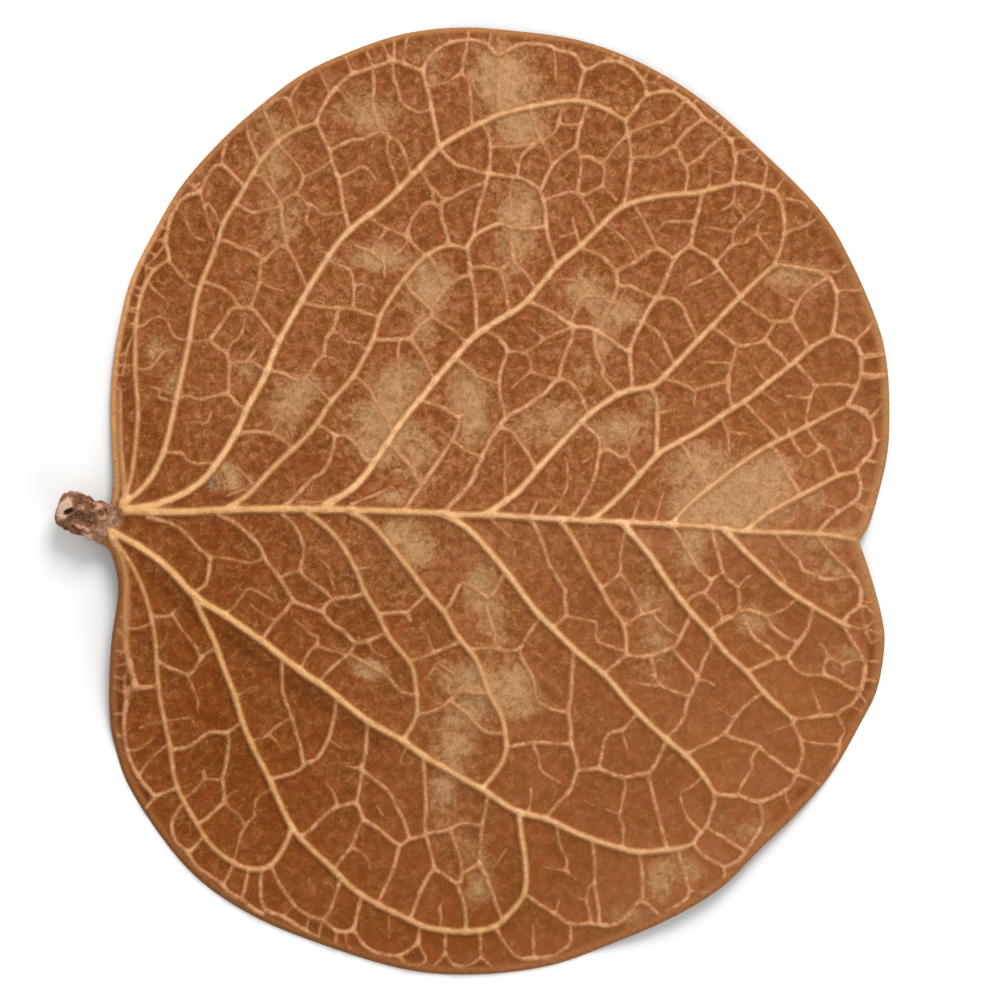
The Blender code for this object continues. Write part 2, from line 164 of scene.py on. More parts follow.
def trace(lines, reach):
    """Distance of the net's points to the lines' middles and to their flanks, both at most the reach.

    Each line comes as its points and its half width at each of them. Where two lines meet, a web fills the
    corner between them.
    """
    to_middle = np.full(grid.shape[:2], reach)
    to_flank = to_middle.copy()
    for line, half in lines:
        own = np.full(grid.shape[:2], reach)
        for start, end, half_start, half_end in zip(line, line[1:], half, half[1:]):
            part, gap, share = beside(start, end, reach)
            to_middle[part] = np.minimum(to_middle[part], gap)
            own[part] = np.minimum(own[part], gap - half_start - share * (half_end - half_start))
        to_flank = np.minimum(to_flank, own) - webbing(to_flank, own)
    return to_middle[used], to_flank[used]


to_edge, _ = trace([(np.vstack([edge, edge[:1]]), np.zeros(len(edge) + 1))], EDGE_REACH)
to_edge[on_rim] = 0

# The nerves: the midrib, which runs from the stalk to the notch, and the side veins that bend from it towards
# the margin. They stand out as round ridges of pale tan tissue. A vein is written as its width at each end,
# which a vein without one shares with the vein before it, and then as its points, all in steps of the sheet.
NERVES = """
midrib 10 6: 122,511 180,512 220,510 300,509 420,512 460,515 500,515 540,518 700,526 740,531 818,534 850,538
858,541;
upper1 5 4: 122,503 131,480 138,412 135,380 135,345 137,309 150,272 168,260;
upper2 8 5: 122,505 138,493 151,479 165,448 176,400 190,336 194,308 200,285 213,255 219,232 226,216 238,200
245,185 254,172 260,160 280,139 300,127 312,125 316,123;
upper3 10 6: 122,510 155,505 182,495 202,482 209,475 235,436 248,406 265,377 279,341 318,273 332,251 348,231
370,214 385,203 430,157 437,148 465,131 480,124 500,114 545,104 575,100 603,107 625,121;
upper4 7 5: 229,507 247,497 267,474 301,442 317,425 331,401 346,386 354,378 363,359 376,336 378,319 404,279
425,256 442,247 451,243 467,250;
upper5 10 6: 325,506 353,489 368,472 402,421 420,400 447,366 455,358 478,333 523,306 536,290 550,275 555,266
580,247 605,222 622,206 660,196 680,194 700,194 710,189 735,184;
upper6 9 6: 485,514 507,501 528,482 534,473 580,423 597,408 626,390 642,389 651,390 656,384 663,378 706,332
713,326 728,309 768,270 774,266;
upper7 8 6: 592,519 616,500 653,459 658,452 681,441 710,424 735,406 745,403 760,389 795,362 810,347 832,336;
upper8 7 5: 672,523 686,507 702,493 740,464 765,447 773,444 795,432 809,426 834,411 849,406;
upper9 7 5: 746,530 769,512 811,490 841,474 857,472;
lower1 3.5 6: 112,537 123,551 133,566 139,579 145,593 149,609 152,617 156,645 157,675 161,706 171,751
171,760 174,781 182,800 197,824 201,834 214,850 241,868 261,871 271,869 277,859 290,837 291,829;
lower2 10 7: 110,530 137,545 167,566 195,597 214,608 236,622 247,631 259,638 281,656 294,665 311,679 320,682
329,690 361,716 370,723 403,740 423,756 444,767 470,783 483,788 491,795 519,813 546,817 561,826 591,839
621,848 637,853 666,849 680,850 693,844;
lower3 7 7: 195,597 201,615 213,636 221,661 236,698 243,725 260,762 267,774 281,807 287,818 291,829 299,836
308,847 334,870 343,881 363,897 400,916 410,919 418,926 429,929 457,932 483,931 496,929 503,921 520,903
526,893 526,867 520,827 519,813;
middle4 6 5: 308,514 316,518 338,538 353,564 357,569 365,595 379,612 381,618 386,634 406,657 411,660 415,675
417,704 419,715 403,740;
middle5 7 6: 352,513 360,516 375,527 418,580 427,594 445,611 449,619 457,638 471,649 474,656 480,666 487,689
493,701 504,718 504,728 508,747 502,764 483,788;
middle6 9 7: 443,514 469,529 500,564 519,588 523,595 540,616 561,636 571,647 594,666 604,673 634,709 666,739
686,755 706,779 714,793;
nether2 6 5: 560,521 572,537 586,563 590,573 602,587 604,595 610,608 625,624 626,655;
nether3 9 6: 622,523 650,555 662,574 690,612 709,631 726,654 747,671 764,694 783,709 791,718;
nether6 8 6: 724,531 732,537 746,553 762,567 788,591 846,626
"""
VEIN_SPACING = 0.5
JOIN_REACH = 0.8
FREE_END = 0.4
NARROWING = 1.0
NERVE_FULLNESS = 0.68
NERVE_CALMING = 8
NERVE_REACH = 7.0


def centre_lines(text, calming):
    """The smoothed centre line of each vein of the text, and its widths, in steps of the sheet, at its ends.

    Calming is how many times each point moves halfway to the middle of its two neighbours, which takes the
    wobble out of the line.
    """
    for vein in text.split(";"):
        *head, course = vein.split(":")
        if head:
            widths = [float(word) for word in head[0].split()[-2:]]
        centre = smooth(sheet_points(course), VEIN_SPACING)
        for _ in range(calming):
            centre[1:-1] = centre[1:-1] / 2 + (centre[:-2] + centre[2:]) / 4
        yield centre, (widths[0], widths[-1])


def gaps_to(place, points):
    """How far each of the points lies from the place."""
    return np.hypot(*(points - place).T)


def veins(text, fullness=1.0, calming=0, earlier=()):
    """Each vein of the text as its centre line and its half width at each of those points.

    The widths written are the widest that could be read, so fullness takes a share of them. An end that lies
    close to another vein, an earlier one or one of the text, is drawn onto it. A free end narrows, to the
    share FREE_END of its width.
    """
    read = list(centre_lines(text, calming))
    lines = []
    for centre, widths in read:
        others = np.vstack([centre[:0], *(line for line, _ in (*earlier, *read) if line is not centre)])
        gaps = [gaps_to(end, others) for end in centre[[0, -1]]]
        joined = [gap.min(initial=np.inf) < JOIN_REACH for gap in gaps]
        start, end = (others[[gap.argmin()]] if joins else others[:0] for gap, joins in zip(gaps, joined))
        centre = np.vstack([start, centre, end])
        centre = centre[np.append(True, np.hypot(*np.diff(centre, axis=0).T) > 0)]
        along = lengths_along(centre)
        half = np.interp(along, (0, along[-1]), widths) * SHEET_STEP / 2 * fullness
        for joins, away in zip(joined, (along, along[-1] - along)):
            if not joins:
                half = half * (1 - (1 - FREE_END) * np.exp(-away / NARROWING))
        lines.append((centre, half))
    return lines


nerve_lines = veins(NERVES, NERVE_FULLNESS, NERVE_CALMING)
nerve_middle, nerve_flank = trace(nerve_lines, NERVE_REACH)
strength = nerve_middle - nerve_flank

# The loops and links between the nerves are thinner, pinkish and arched, and join up along the margin. They
# are drawn as the nerves are, onto the nerves and onto each other where they meet.
LOOPS = """
4: 168,262 169,257 165,241 167,232 170,217 177,206 181,199 196,192 201,192 204,182 214,166 223,165 233,175
245,187; 5 4: 316,123 317,118 330,94 350,75 360,71 388,62 398,61 422,71; 5: 316,123 329,150 331,160 340,185
342,200 348,226; 422,71 428,92 439,146; 4: 423,72 424,65 429,57 443,45 461,40 481,41 488,45 498,56 506,51
521,44 541,44 551,46 556,50 563,51 577,55 580,63 586,71 601,62 616,61 631,67 645,83 646,95; 584,70 577,99;
5: 625,120 630,147 631,160 626,196 622,206; 5 4: 625,121 634,111 645,96 655,93 665,91 675,93 693,106 700,113
703,119 710,122 731,141 733,149 736,163 734,171 732,185; 6 5: 735,184 745,183 765,189 775,192 780,200
785,222 782,245 774,266; 4: 286,504 291,501 314,477 323,473 332,454 335,436; 335,436 331,432 317,424;
335,436 347,436 359,448 362,455 367,461 375,461; 5: 528,302 537,305 554,314 574,327 591,328 620,347 630,352;
629,353 632,382 631,389; 406,508 453,439 459,417; 6: 445,511 470,484 478,465 493,436 507,417 524,408 547,391
552,384 558,380; 5: 467,248 471,277 474,289 476,311 476,336; 5 4: 466,249 474,236 480,232 497,224 503,223
508,227 530,229 546,226; 4: 474,236 476,218 489,170 490,141 484,127 480,123; 5 4: 438,145 445,155 457,166
465,167 483,173 519,178 529,182 540,191 545,209 547,234 556,263; 4: 588,102 578,134 577,147 568,152 553,165
541,189; 5: 774,266 782,265 812,270 820,273 828,276 837,293 835,322 832,335; 6 5: 628,352 638,329 643,321
646,313 660,292 670,269 676,256 689,246; 5: 691,247 693,230 701,200 701,194; 4: 690,246 697,251 712,259
719,269 740,296; 6: 651,390 657,405 656,453; 4: 584,425 597,436 600,445 598,458 594,478 582,504 573,515; 5:
832,335 840,336 855,343 862,358 858,385 847,406; 847,406 869,417 875,442 868,457 862,463 856,471; 4: 856,471
860,478 859,498 838,512 825,524 818,534; 500,338 507,352 502,366 499,381 500,396 506,418; 6 5: 134,687
145,688 158,685; 5 4: 176,788 163,794 156,796 146,808; 4: 148,517 178,527 199,549 206,554 210,556 209,572
206,585 194,592; 5: 219,515 235,523 258,544 266,561 277,574 294,602; 4: 292,601 284,613 277,619 263,638;
292,601 322,612; 283,515 295,526 304,548 300,571 305,576 311,582 325,591 330,598 334,600; 5: 365,593 350,598
341,597 328,603 322,611 333,625 343,630 354,643 364,642 386,633; 4: 354,644 349,655 341,660 325,674 320,682;
381,614 400,612 408,613 410,620; 406,614 424,596; 445,611 452,601 460,583 468,585 483,595 489,599 494,592
505,573; 411,660 421,658 459,642; 472,649 492,648 504,651 520,649 525,639 541,616; 519,649 521,656 533,678
535,689 537,701 554,710 568,712; 419,715 439,709 450,701 460,691 471,692 487,693; 450,701 467,714 481,729
490,733 503,733; 353,656 362,661 372,669 384,673 395,686 402,692 410,695 417,695; 6 5: 573,650 571,691
568,712 570,721 571,744 575,754 577,770 570,791 563,798 546,817; 4: 508,747 537,742 553,744 571,744; 5:
577,770 589,770 599,769 624,778 637,774 649,774 654,766 665,744 666,739; 4: 649,774 650,784 667,849; 599,769
602,752 606,736 615,731 623,730 638,712; 551,628 566,615 564,599 565,591; 5 4: 530,520 535,526 545,552
549,566 554,571 557,578 565,590; 5: 604,673 616,664 626,655 637,657 650,656 671,648 677,643 691,614; 4:
671,648 687,666 697,676 696,682 686,706 683,719 666,739; 698,677 705,656 710,650 713,636; 625,624 633,620
641,614 651,613 661,608; 650,656 653,664 654,675 660,685 680,694 689,696; 5 4: 686,754 724,734 731,722
737,716 741,709 764,692; 4: 724,734 736,739 759,746 763,752 773,758 783,766 796,774; 5: 714,793 727,796
739,796 750,800 761,802 784,792 793,784 796,774 803,755 801,742 791,718; 4: 791,718 804,719 819,716 837,715
844,709 853,705 861,690; 5: 844,626 863,659 866,669 861,690; 4: 670,526 676,532 695,564 711,581; 5 4:
711,530 720,562 722,573 733,584 738,588 739,612 733,617 721,622 711,629; 4 3: 711,581 710,588 703,593
716,604 721,615 721,622; 709,582 720,574; 5: 812,608 810,622 805,634 792,651 786,658 775,659 747,672; 5 4:
787,658 800,673 826,676 839,681 849,688 861,690; 4: 739,611 750,611 767,616 770,625 786,638 796,642; 739,612
749,629 754,638 771,649 779,657; 775,535 787,550 799,559 802,571 810,573 826,580 850,576; 5: 817,537 831,554
846,568 858,582 861,589 860,607 850,613 843,623; 714,793 714,804 706,827 700,833 693,844; 4: 693,844 705,857
724,868 724,877; 706,827 714,833 724,837 731,843 743,850; 5: 525,894 532,900 556,915 569,925 588,924 610,926
623,920 633,910 640,900 659,915; 4: 570,924 570,946 561,950 556,956 529,959 517,958 504,943 496,929; 5 4:
592,839 595,870 594,883 599,911 599,924; 638,853 642,871 642,899; 4: 678,850 680,860 684,869 686,880 689,890
687,899 667,911; 760,802 763,823 755,837 750,846 745,851 740,860 725,867; 5: 299,837 308,832 331,810 341,807
356,803 363,821; 5 4: 367,723 365,756 361,768 361,779 357,801; 4: 362,823 358,828 352,846 343,857 333,871; 5
4: 363,820 377,828 399,846 406,841 424,835; 5: 399,846 393,870 381,896 378,905; 4: 359,768 388,791 395,805
404,821 408,836; 5 4: 423,759 426,809 424,823 425,834 429,846 434,868; 434,868 423,886 410,919; 434,869
456,885 465,910 466,933; 4 3: 424,834 450,830 454,826 463,823 481,826; 450,830 459,856 462,870 458,883;
488,794 482,827 480,854 478,865; 481,864 464,873 460,883; 5 4: 478,865 484,871 487,880 502,920; 171,750
186,748 194,744 210,732 227,734 231,730 241,723; 4: 227,734 229,741 225,769 222,781 224,801 214,811 207,819
197,824; 158,661 169,668 180,672 189,676 194,670 203,656 209,651 217,649; 4 3: 152,616 165,617 173,615
176,610; 4: 271,779 291,774 300,770 303,763 307,763 317,759 329,738 331,728 334,719 336,701; 282,660 282,686
284,698 291,716 301,751 303,763; 181,806 171,823 174,839 180,847 188,852; 272,869 275,877 294,906 310,917
324,921 332,929 344,933 354,930 355,923 361,897; 353,930 367,949 389,956 400,956 414,947 418,944 419,926;
341,877 331,908 325,918; 262,871 260,884 262,906 270,913; 248,869 244,892 242,897; 4 3: 445,932 445,954;
480,932 481,958; 4: 233,865 225,882 222,885; 199,842 195,847 186,854; 5 9: 113,541 120,554 124,565 126,577
126,592 125,610 126,646 136,688; 8 5: 125,500 120,443 120,413; 5: 125,693 137,686; 5 4: 129,689 124,719
125,744 131,764 143,784 150,791 153,796; 4: 188,852 191,860 199,869 221,884 227,891 234,896 241,899 254,910
262,914; 269,913 281,916 300,928 306,930 310,934 318,937
"""
LOOP_FULLNESS = 0.62
LOOP_CALMING = 1
VEIN_REACH = 2.5
loop_lines = veins(LOOPS, LOOP_FULLNESS, LOOP_CALMING, nerve_lines)
loop_middle, loop_flank = trace(loop_lines, VEIN_REACH)

# The net: the finest veins that can be told apart, which divide the fields between the loops. Its flanks and
# those of the stronger veins grow together in the corners where they meet.
NET = """
3: 498,56 499,112; 577,148 581,165 577,193; 208,557 224,558 250,563 261,560; 224,614 232,609 243,595 248,589
254,590 268,597 274,602; 300,571 287,574 280,579; 355,569 371,567; 624,778 625,789 619,818 623,824 623,846;
222,163 222,155 226,144; 197,190 193,183; 257,160 255,152 248,135 247,122; 277,140 265,113 263,104; 299,127
291,105 288,99 280,98 272,101 266,108; 290,99 294,90 304,75; 258,175 266,182 280,203 281,213 286,247;
280,203 287,197 295,194 301,197 306,203 315,207 320,212 328,215 343,212; 240,206 254,213 262,210 280,206;
279,145 299,168 302,182 295,194; 303,177 319,170 330,161; 330,94 319,70; 352,72 345,56; 372,65 366,50;
390,60 383,45; 394,58 394,40; 403,60 407,38; 373,68 374,90 372,103 380,131; 392,62 394,78 400,97 402,103
415,111 420,113 430,109; 330,150 350,140 362,139 380,131 386,136 395,139 403,150 410,173; 338,178 355,170
360,166 367,169 378,183; 428,86 448,82 454,77 461,73 463,60 466,50 468,33; 461,73 468,80 470,92 472,125;
371,219 385,228 404,235 409,240; 4: 409,240 408,228 420,208 432,203 441,209; 420,170 431,188 437,193 443,199
450,199 470,188 484,183; 443,199 441,209 442,220 445,228 448,242; 3: 490,146 511,147 540,142; 530,108
535,128 549,155 550,162; 544,200 562,194 570,192 584,195 592,191 600,188; 579,195 590,212 596,228; 4:
581,157 590,157 602,163 613,150 624,138 628,136; 628,136 635,131 655,123 664,122 677,111 686,99; 631,160
640,157 657,156 669,148 675,146 686,132 703,119; 676,148 680,153 682,160 686,166 690,164 703,156 706,150
724,136; 3: 635,206 651,235 657,249; 661,226 667,222 694,222; 735,154 742,151 757,149; 733,138 747,137;
722,128 724,122; 762,158 767,166 763,189; 784,178 776,190; 763,190 762,200 757,207 735,229 733,243; 779,200
790,199 803,202 808,208; 784,235 792,230 808,224 820,216; 167,260 184,279 190,285 198,288; 164,239 152,241;
150,268 141,264; 142,290 133,285; 136,309 126,307; 135,323 124,325; 134,366 118,365; 4: 180,398 188,396
196,399 205,399 222,394 228,394 237,404 246,409; 228,394 229,385 228,375 230,365 226,353 219,349 211,340
215,333 226,316 232,309 250,308 255,312 278,341; 3: 230,364 238,362 254,363 261,368 268,372; 4: 238,307
232,296 219,287 203,282; 250,308 259,281 260,264 262,259 248,249 240,248 226,241 218,241; 3: 260,264 272,252
278,246 286,247; 286,247 295,261 307,289; 4: 303,303 330,308 352,309 377,317; 3: 409,240 424,255; 351,241
357,246 372,252 377,257 383,260 385,277; 331,262 345,268 351,272 354,295 353,308; 4: 406,282 411,292 420,299
431,309 435,302 446,288 460,278 471,276; 431,309 432,316 420,326 410,339; 375,340 392,340 410,340 415,346
425,360 434,381; 3: 353,378 360,380 371,392 374,400 384,414 391,430; 4: 269,370 284,374 298,380 308,375
318,360 323,355 327,337 332,332 338,312 340,309; 469,270 478,267 492,268 500,270 513,260; 500,270 505,288
509,311; 513,260 511,229; 3: 513,261 519,268 526,274 535,288; 4: 485,331 498,338 508,351; 457,360 472,371
477,377 491,381 499,385; 422,401 440,407 459,418; 582,249 597,254 608,262 616,274 618,286 631,286 637,290
657,299; 617,271 624,267 632,264 652,250 663,251 674,260; 618,286 612,302 603,318 599,331; 658,298 673,299
684,309 686,316 697,338; 3: 572,328 558,333 551,337 546,338 537,345 525,353 517,352 508,352; 4: 573,330
571,340 563,360 558,380; 558,380 565,380 577,390 587,412; 594,333 596,352 603,368 602,376 615,391; 3:
647,325 660,336 674,364; 4: 664,379 680,383 695,390 702,388 728,381; 3: 820,272 830,271 838,272 849,262;
837,292 845,290 860,290; 716,262 732,246 738,243 744,243 750,238 757,234 758,226 763,218; 4: 741,301 768,319
776,322 791,320; 791,320 798,303 810,289 828,278; 791,320 801,334 808,347; 3: 855,341 868,329 872,320;
862,358 870,354 884,354; 862,374 884,375; 4: 713,329 727,337 739,346 762,342 766,340 771,346 783,357
789,366; 737,346 728,381 732,407; 796,362 811,380 815,386 822,385 838,384 855,387; 3: 873,416 884,403; 4:
746,405 779,439; 238,434 255,432 272,434 286,442 291,448; 3: 166,452 174,453 182,453 191,463 211,463;
190,423 198,422 205,424 209,419 211,412; 4: 392,446 409,464 413,472 421,484; 453,440 465,450 480,457;
500,428 508,430 514,434 518,441 524,447 535,468; 602,452 608,450 620,457 627,456 630,462 637,472; 3: 680,444
686,450 691,462 697,472 706,483; 4: 806,427 816,441 822,447 828,449 830,456 837,474; 822,447 808,457 803,455
793,441 790,433; 770,446 777,452 788,474 799,492; 3: 853,504 866,512; 488,600 487,609 494,632 496,645
504,652 507,664; 602,587 609,583 620,572 620,555 625,530; 866,607 877,617; 844,626 869,630 880,635; 838,716
845,731 841,739 838,756 832,764; 796,774 809,779 822,786; 784,792 791,809; 566,616 591,621 596,623 596,636
599,642 626,652; 738,588 744,580 750,576; 703,593 697,594 684,602; 652,613 661,624 679,637; 759,748 751,759
752,769 741,786 738,796; 700,779 690,788 680,794 687,817 700,831; 233,863 243,829 254,817 254,809 257,799
271,789; 183,799 193,792 204,779 203,772; 224,801 230,809 237,814 241,821; 252,741 260,739 269,734 274,728
291,718; 351,848 361,853 367,859 370,869; 418,944 426,961 416,966 404,963 400,957; 445,954 453,965 463,967
472,964 481,958; 445,954 439,961 434,966; 481,958 487,963 492,968; 321,923 319,936; 336,932 335,943; 862,357
872,357 881,355; 864,378 874,378 883,376; 854,405 861,408 868,411; 874,441 881,440 886,438; 868,461 876,462
882,463; 861,488 868,490 876,489; 858,504 866,508 873,507; 336,933 336,941; 346,934 346,943 350,949; 309,917
306,930; 594,885 589,887 586,901 589,911 591,923; 557,828 559,843 567,861 566,871 576,879; 533,926 534,957;
440,931 441,917 439,910 443,901; 188,677 198,702 197,710; 173,616 177,621 181,629 196,647 201,659; 531,789
531,799 528,812; 535,749 539,759 541,771 560,783; 339,764 360,770; 325,782 333,792 337,805; 295,620 310,633
318,638; 317,645 310,651 302,666; 317,646 344,654; 812,688 821,713; 820,644 826,652 827,661 823,668 826,676;
827,656 844,665 851,661 862,660; 2: 200,192 206,215 216,245; 208,203 214,212 218,222; 178,209 184,216
191,233 197,238 204,240; 340,90 350,103 360,112; 388,140 387,152 396,178 397,184; 439,37 436,31; 450,40
448,33; 489,46 491,33; 310,204 306,220 310,226 315,235; 433,191 433,200 438,207; 540,142 522,155 517,176;
512,155 516,165; 607,60 607,54; 553,48 555,58 556,80; 562,103 561,113 556,130 550,136 543,140; 558,122
565,125 580,124; 602,163 605,172 603,188 610,193 616,200; 682,158 671,163; 686,166 688,175 685,192; 710,170
709,188; 512,180 509,200; 610,110 603,121; 735,187 733,203 722,210; 733,203 744,215; 705,227 733,232;
186,340 176,338 171,331 164,317 150,319 145,324 135,328; 149,283 152,288 166,300 168,304; 135,369 150,368
163,352 172,350; 172,402 158,397; 174,395 150,386; 211,340 190,342; 246,362 264,337; 229,350 231,343 237,339
242,332 244,322 243,316; 259,281 273,288 283,291; 409,240 397,253 383,259; 386,230 372,250; 355,286 362,284
369,286 374,291 370,295 376,300; 315,253 322,251 330,258; 432,316 446,326 452,329 463,340; 399,345 398,353
399,368; 332,332 338,333 343,337 346,342 358,343 362,348; 323,356 336,359; 308,382 316,387 330,400; 428,256
434,264 445,288; 459,417 480,405 485,400; 573,218 574,226 580,246; 560,237 572,234; 532,232 531,250; 636,258
628,243 605,224; 612,302 618,306 628,318 640,321; 551,280 575,281 588,296; 575,312 580,299 597,296 610,303;
575,312 570,326; 530,328 543,338; 525,353 530,360 531,372; 530,372 558,380; 530,372 512,388; 660,372
650,360; 695,390 694,405; 660,413 676,409; 757,234 772,233; 719,270 705,279 690,285 682,293; 757,234
773,255; 776,322 764,340; 798,303 782,295 770,285; 732,365 725,363 705,362; 753,365 764,378; 815,387 810,400
806,420; 764,393 776,401; 787,396 810,398; 272,434 284,408; 237,467 248,478; 252,482 245,489 228,495;
300,502 320,502 334,496; 352,504 382,492 388,488; 440,430 452,440; 505,445 505,495; 627,456 631,440 640,425;
605,450 603,437; 547,516 560,500 567,485 567,465 565,458; 532,512 538,500; 583,462 589,459; 655,520 663,492;
633,519 639,498; 784,412 790,433; 723,420 728,436 729,453; 728,430 738,434 746,433 752,438; 751,484 760,494
769,508; 815,503 835,507; 251,536 259,530; 583,522 588,529; 515,548 513,562; 490,518 513,540; 620,573
630,587 640,608; 770,560 786,582; 796,599 785,609 770,615; 740,611 748,610 756,612 768,620; 318,558 329,567
330,574 335,590; 724,617 730,616 738,612; 130,629 140,628 148,625; 250,604 259,612 269,617; 236,697 247,690
257,686; 268,734 277,742 283,752; 166,746 150,759 141,772; 129,751 141,748 153,738; 140,728 150,724 160,723;
167,721 180,719 191,719 195,726; 224,801 231,794 238,791; 204,779 222,781; 119,655 125,652; 309,880 310,894;
291,908 285,915; 311,765 317,771; 406,748 402,756 400,765; 427,634 433,651; 371,646 374,652 386,657; 437,662
456,675; 439,681 449,692; 330,741 343,749; 622,732 629,758; 631,681 643,684 660,686; 640,672 650,676;
697,680 706,681 714,685; 534,652 544,658; 560,662 571,664; 544,679 551,682 557,688; 513,614 516,628; 492,869
506,850; 456,809 454,798; 389,917 389,937; 377,806 383,816; 606,809 619,814; 584,800 593,805; 543,867
566,871; 586,901 569,894; 559,899 557,911; 718,708 731,717; 769,733 792,724; 803,741 819,744 839,745;
844,666 843,673; 749,829 756,833; 764,834 770,836; 689,890 700,893 707,891
"""
NET_FULLNESS = 0.8
net_lines = veins(NET, NET_FULLNESS, earlier=[*nerve_lines, *loop_lines])
net_middle, net_flank = trace(net_lines, VEIN_REACH)
for first, second in ((nerve_flank, loop_flank), (nerve_flank, net_flank), (loop_flank, net_flank)):
    web = webbing(first, second)
    first -= web
    second -= web

# The chains of small cells along four stretches of the margin: short walls run in from the welt at random
# steps, to a rail that is drawn onto any vein close by.
CHAINS = "113,430 200,165; 600,45 770,155; 871,575 863,715; 125,775 112,600"
CHAIN_SEED = 8
CHAIN_STEP = (1.1, 2.6)
CHAIN_DEPTH = (0.45, 0.85)
CHAIN_WALL = (0.09, 0.06)
CHAIN_GAPS = 0.12
MOST_WALLS = 60
WALL_FOOT = 0.7
WALL_LEAN = 0.12
WELT_WIDTHS = (0.55, 0.8)
WELT_WIDENS = (5.0, -10.0)
TIP_WELT = 0.25
TIP_STARTS = (30.0, 39.0)
TIP_ENDS = (-18.0, -8.0)


def welt_width_at(points):
    """The welt's width beside each point: it is wider on the lobe towards -Y and at the leaf's tip."""
    x, y = points.T
    at_tip = np.interp(x, TIP_STARTS, (0, 1)) * np.interp(y, TIP_ENDS, (0, 1))
    return np.interp(-y, np.negative(WELT_WIDENS), WELT_WIDTHS) + TIP_WELT * at_tip


def margin_chains(drawn):
    """The chains' walls and rails as centre lines and half widths, with one left out here and there."""
    chance = np.random.default_rng(CHAIN_SEED)
    lines = []
    for course in CHAINS.split(";"):
        first, last = (gaps_to(end, edge).argmin() for end in sheet_points(course))
        stretch = edge[first:last + 1]
        stops = np.cumsum(chance.uniform(*CHAIN_STEP, MOST_WALLS))
        outer = read_off(stretch, stops[stops < lengths_along(stretch)[-1]])
        ahead = np.gradient(outer, axis=0)
        inward = ahead[:, ::-1] * (1, -1) / np.hypot(*ahead.T)[:, None]
        welt = welt_width_at(outer)
        rail = outer + inward * (welt + chance.uniform(*CHAIN_DEPTH, len(outer)))[:, None]
        for place, point in enumerate(rail):
            gaps = gaps_to(point, drawn)
            if gaps.min() < JOIN_REACH:
                rail[place] = drawn[gaps.argmin()]
        lean = ahead * chance.normal(0, WALL_LEAN, len(outer))[:, None]
        foot = outer + inward * (welt * WALL_FOOT)[:, None] + lean
        lines += [(np.array(span), np.array(CHAIN_WALL)) for span in (*zip(foot, rail), *zip(rail, rail[1:]))
                  if chance.random() > CHAIN_GAPS and np.hypot(*(span[1] - span[0])) > 0]
    return lines


chain_lines = margin_chains(np.vstack([line for line, _ in (*nerve_lines, *loop_lines, *net_lines)]))
chain_middle, chain_flank = trace(chain_lines, VEIN_REACH)
net_middle, net_flank = np.minimum(net_middle, chain_middle), np.minimum(net_flank, chain_flank)

# The splits: where the tissue has torn round an old gall and beside a nerve, it gapes, dark inside. They are
# written as veins are, and sunk instead of raised.
SPLITS = """
1.0 2.2: 216,468 219,471 223,475 226,481 227,487 227,494;
3 2: 218,226 216,234 214,244 217,250
"""
split_middle, split_flank = trace(veins(SPLITS), VEIN_REACH)

# The hollow: on its outer side the lower lobe's strongest nerve stands over a trough, which is written as a
# broad vein. It is sunk, and the tissue is darkened in it as painted shade.
HOLLOW = """
8 14: 128,556 150,578 185,612 230,642;
14 8: 230,642 280,678 330,712 380,748
"""
hollow_middle, hollow_flank = trace(veins(HOLLOW), VEIN_REACH)

# The blade's form: a low dome, folded along the midrib and waved at the margin, sunk a little between the
# nerves and again inside every mesh of the net. Its edge is rounded off, with a slim welt round it.
THICKNESS = 0.45
DOME_HEIGHT = 3.94
RIM_LIFT = 0.4
DOME_CENTRE = (2.8, 0.0)
DOME_RADII = (39.2, 47.6)
FOLD_HEIGHT = 1.4
FOLD_REACH = 9.0
FOLD_ROUNDING = 1.5
MIDRIB_LINE = (-2.1, -0.03)
WAVES = ((1.6, 3, 3, 8.0), (0.5, 4, 7, 20.0), (0.25, 6, 11, 47.0))
QUILT_DEPTH = 0.45
QUILT_REACH = 3.0
TOUCH_DOWN = 0.8
NERVE_RIDGE = (1.1, 0.3)
LOOP_RIDGE = (0.9, 0.2)
NET_RIDGE = (0.5, 0.15)
MESH_DEPTH = 0.12
MESH_REACH = 0.6
CRUMPLES = ((0.05, 1.6, 3), (0.03, 0.7, 5))
CRUMPLE_WAVES = 20
CRUMPLE_PITCH = (1.4, 3.2)
CRUMPLE_GAIN = 2.2
EDGE_ROUNDING = 0.4
WELT_HEIGHT = 0.1
WELT_PLACE = 0.35
WELT_REACH = 0.28
SPLIT_DEPTH = 0.2
SPLIT_REACH = 0.15
HOLLOW_DEPTH = 0.2
HOLLOW_REACH = 0.6


def bell(distance, reach):
    """1 in the middle, soft to 0 past the reach: exp(-(distance / reach)^2)."""
    return np.exp(-(distance / reach)**2)


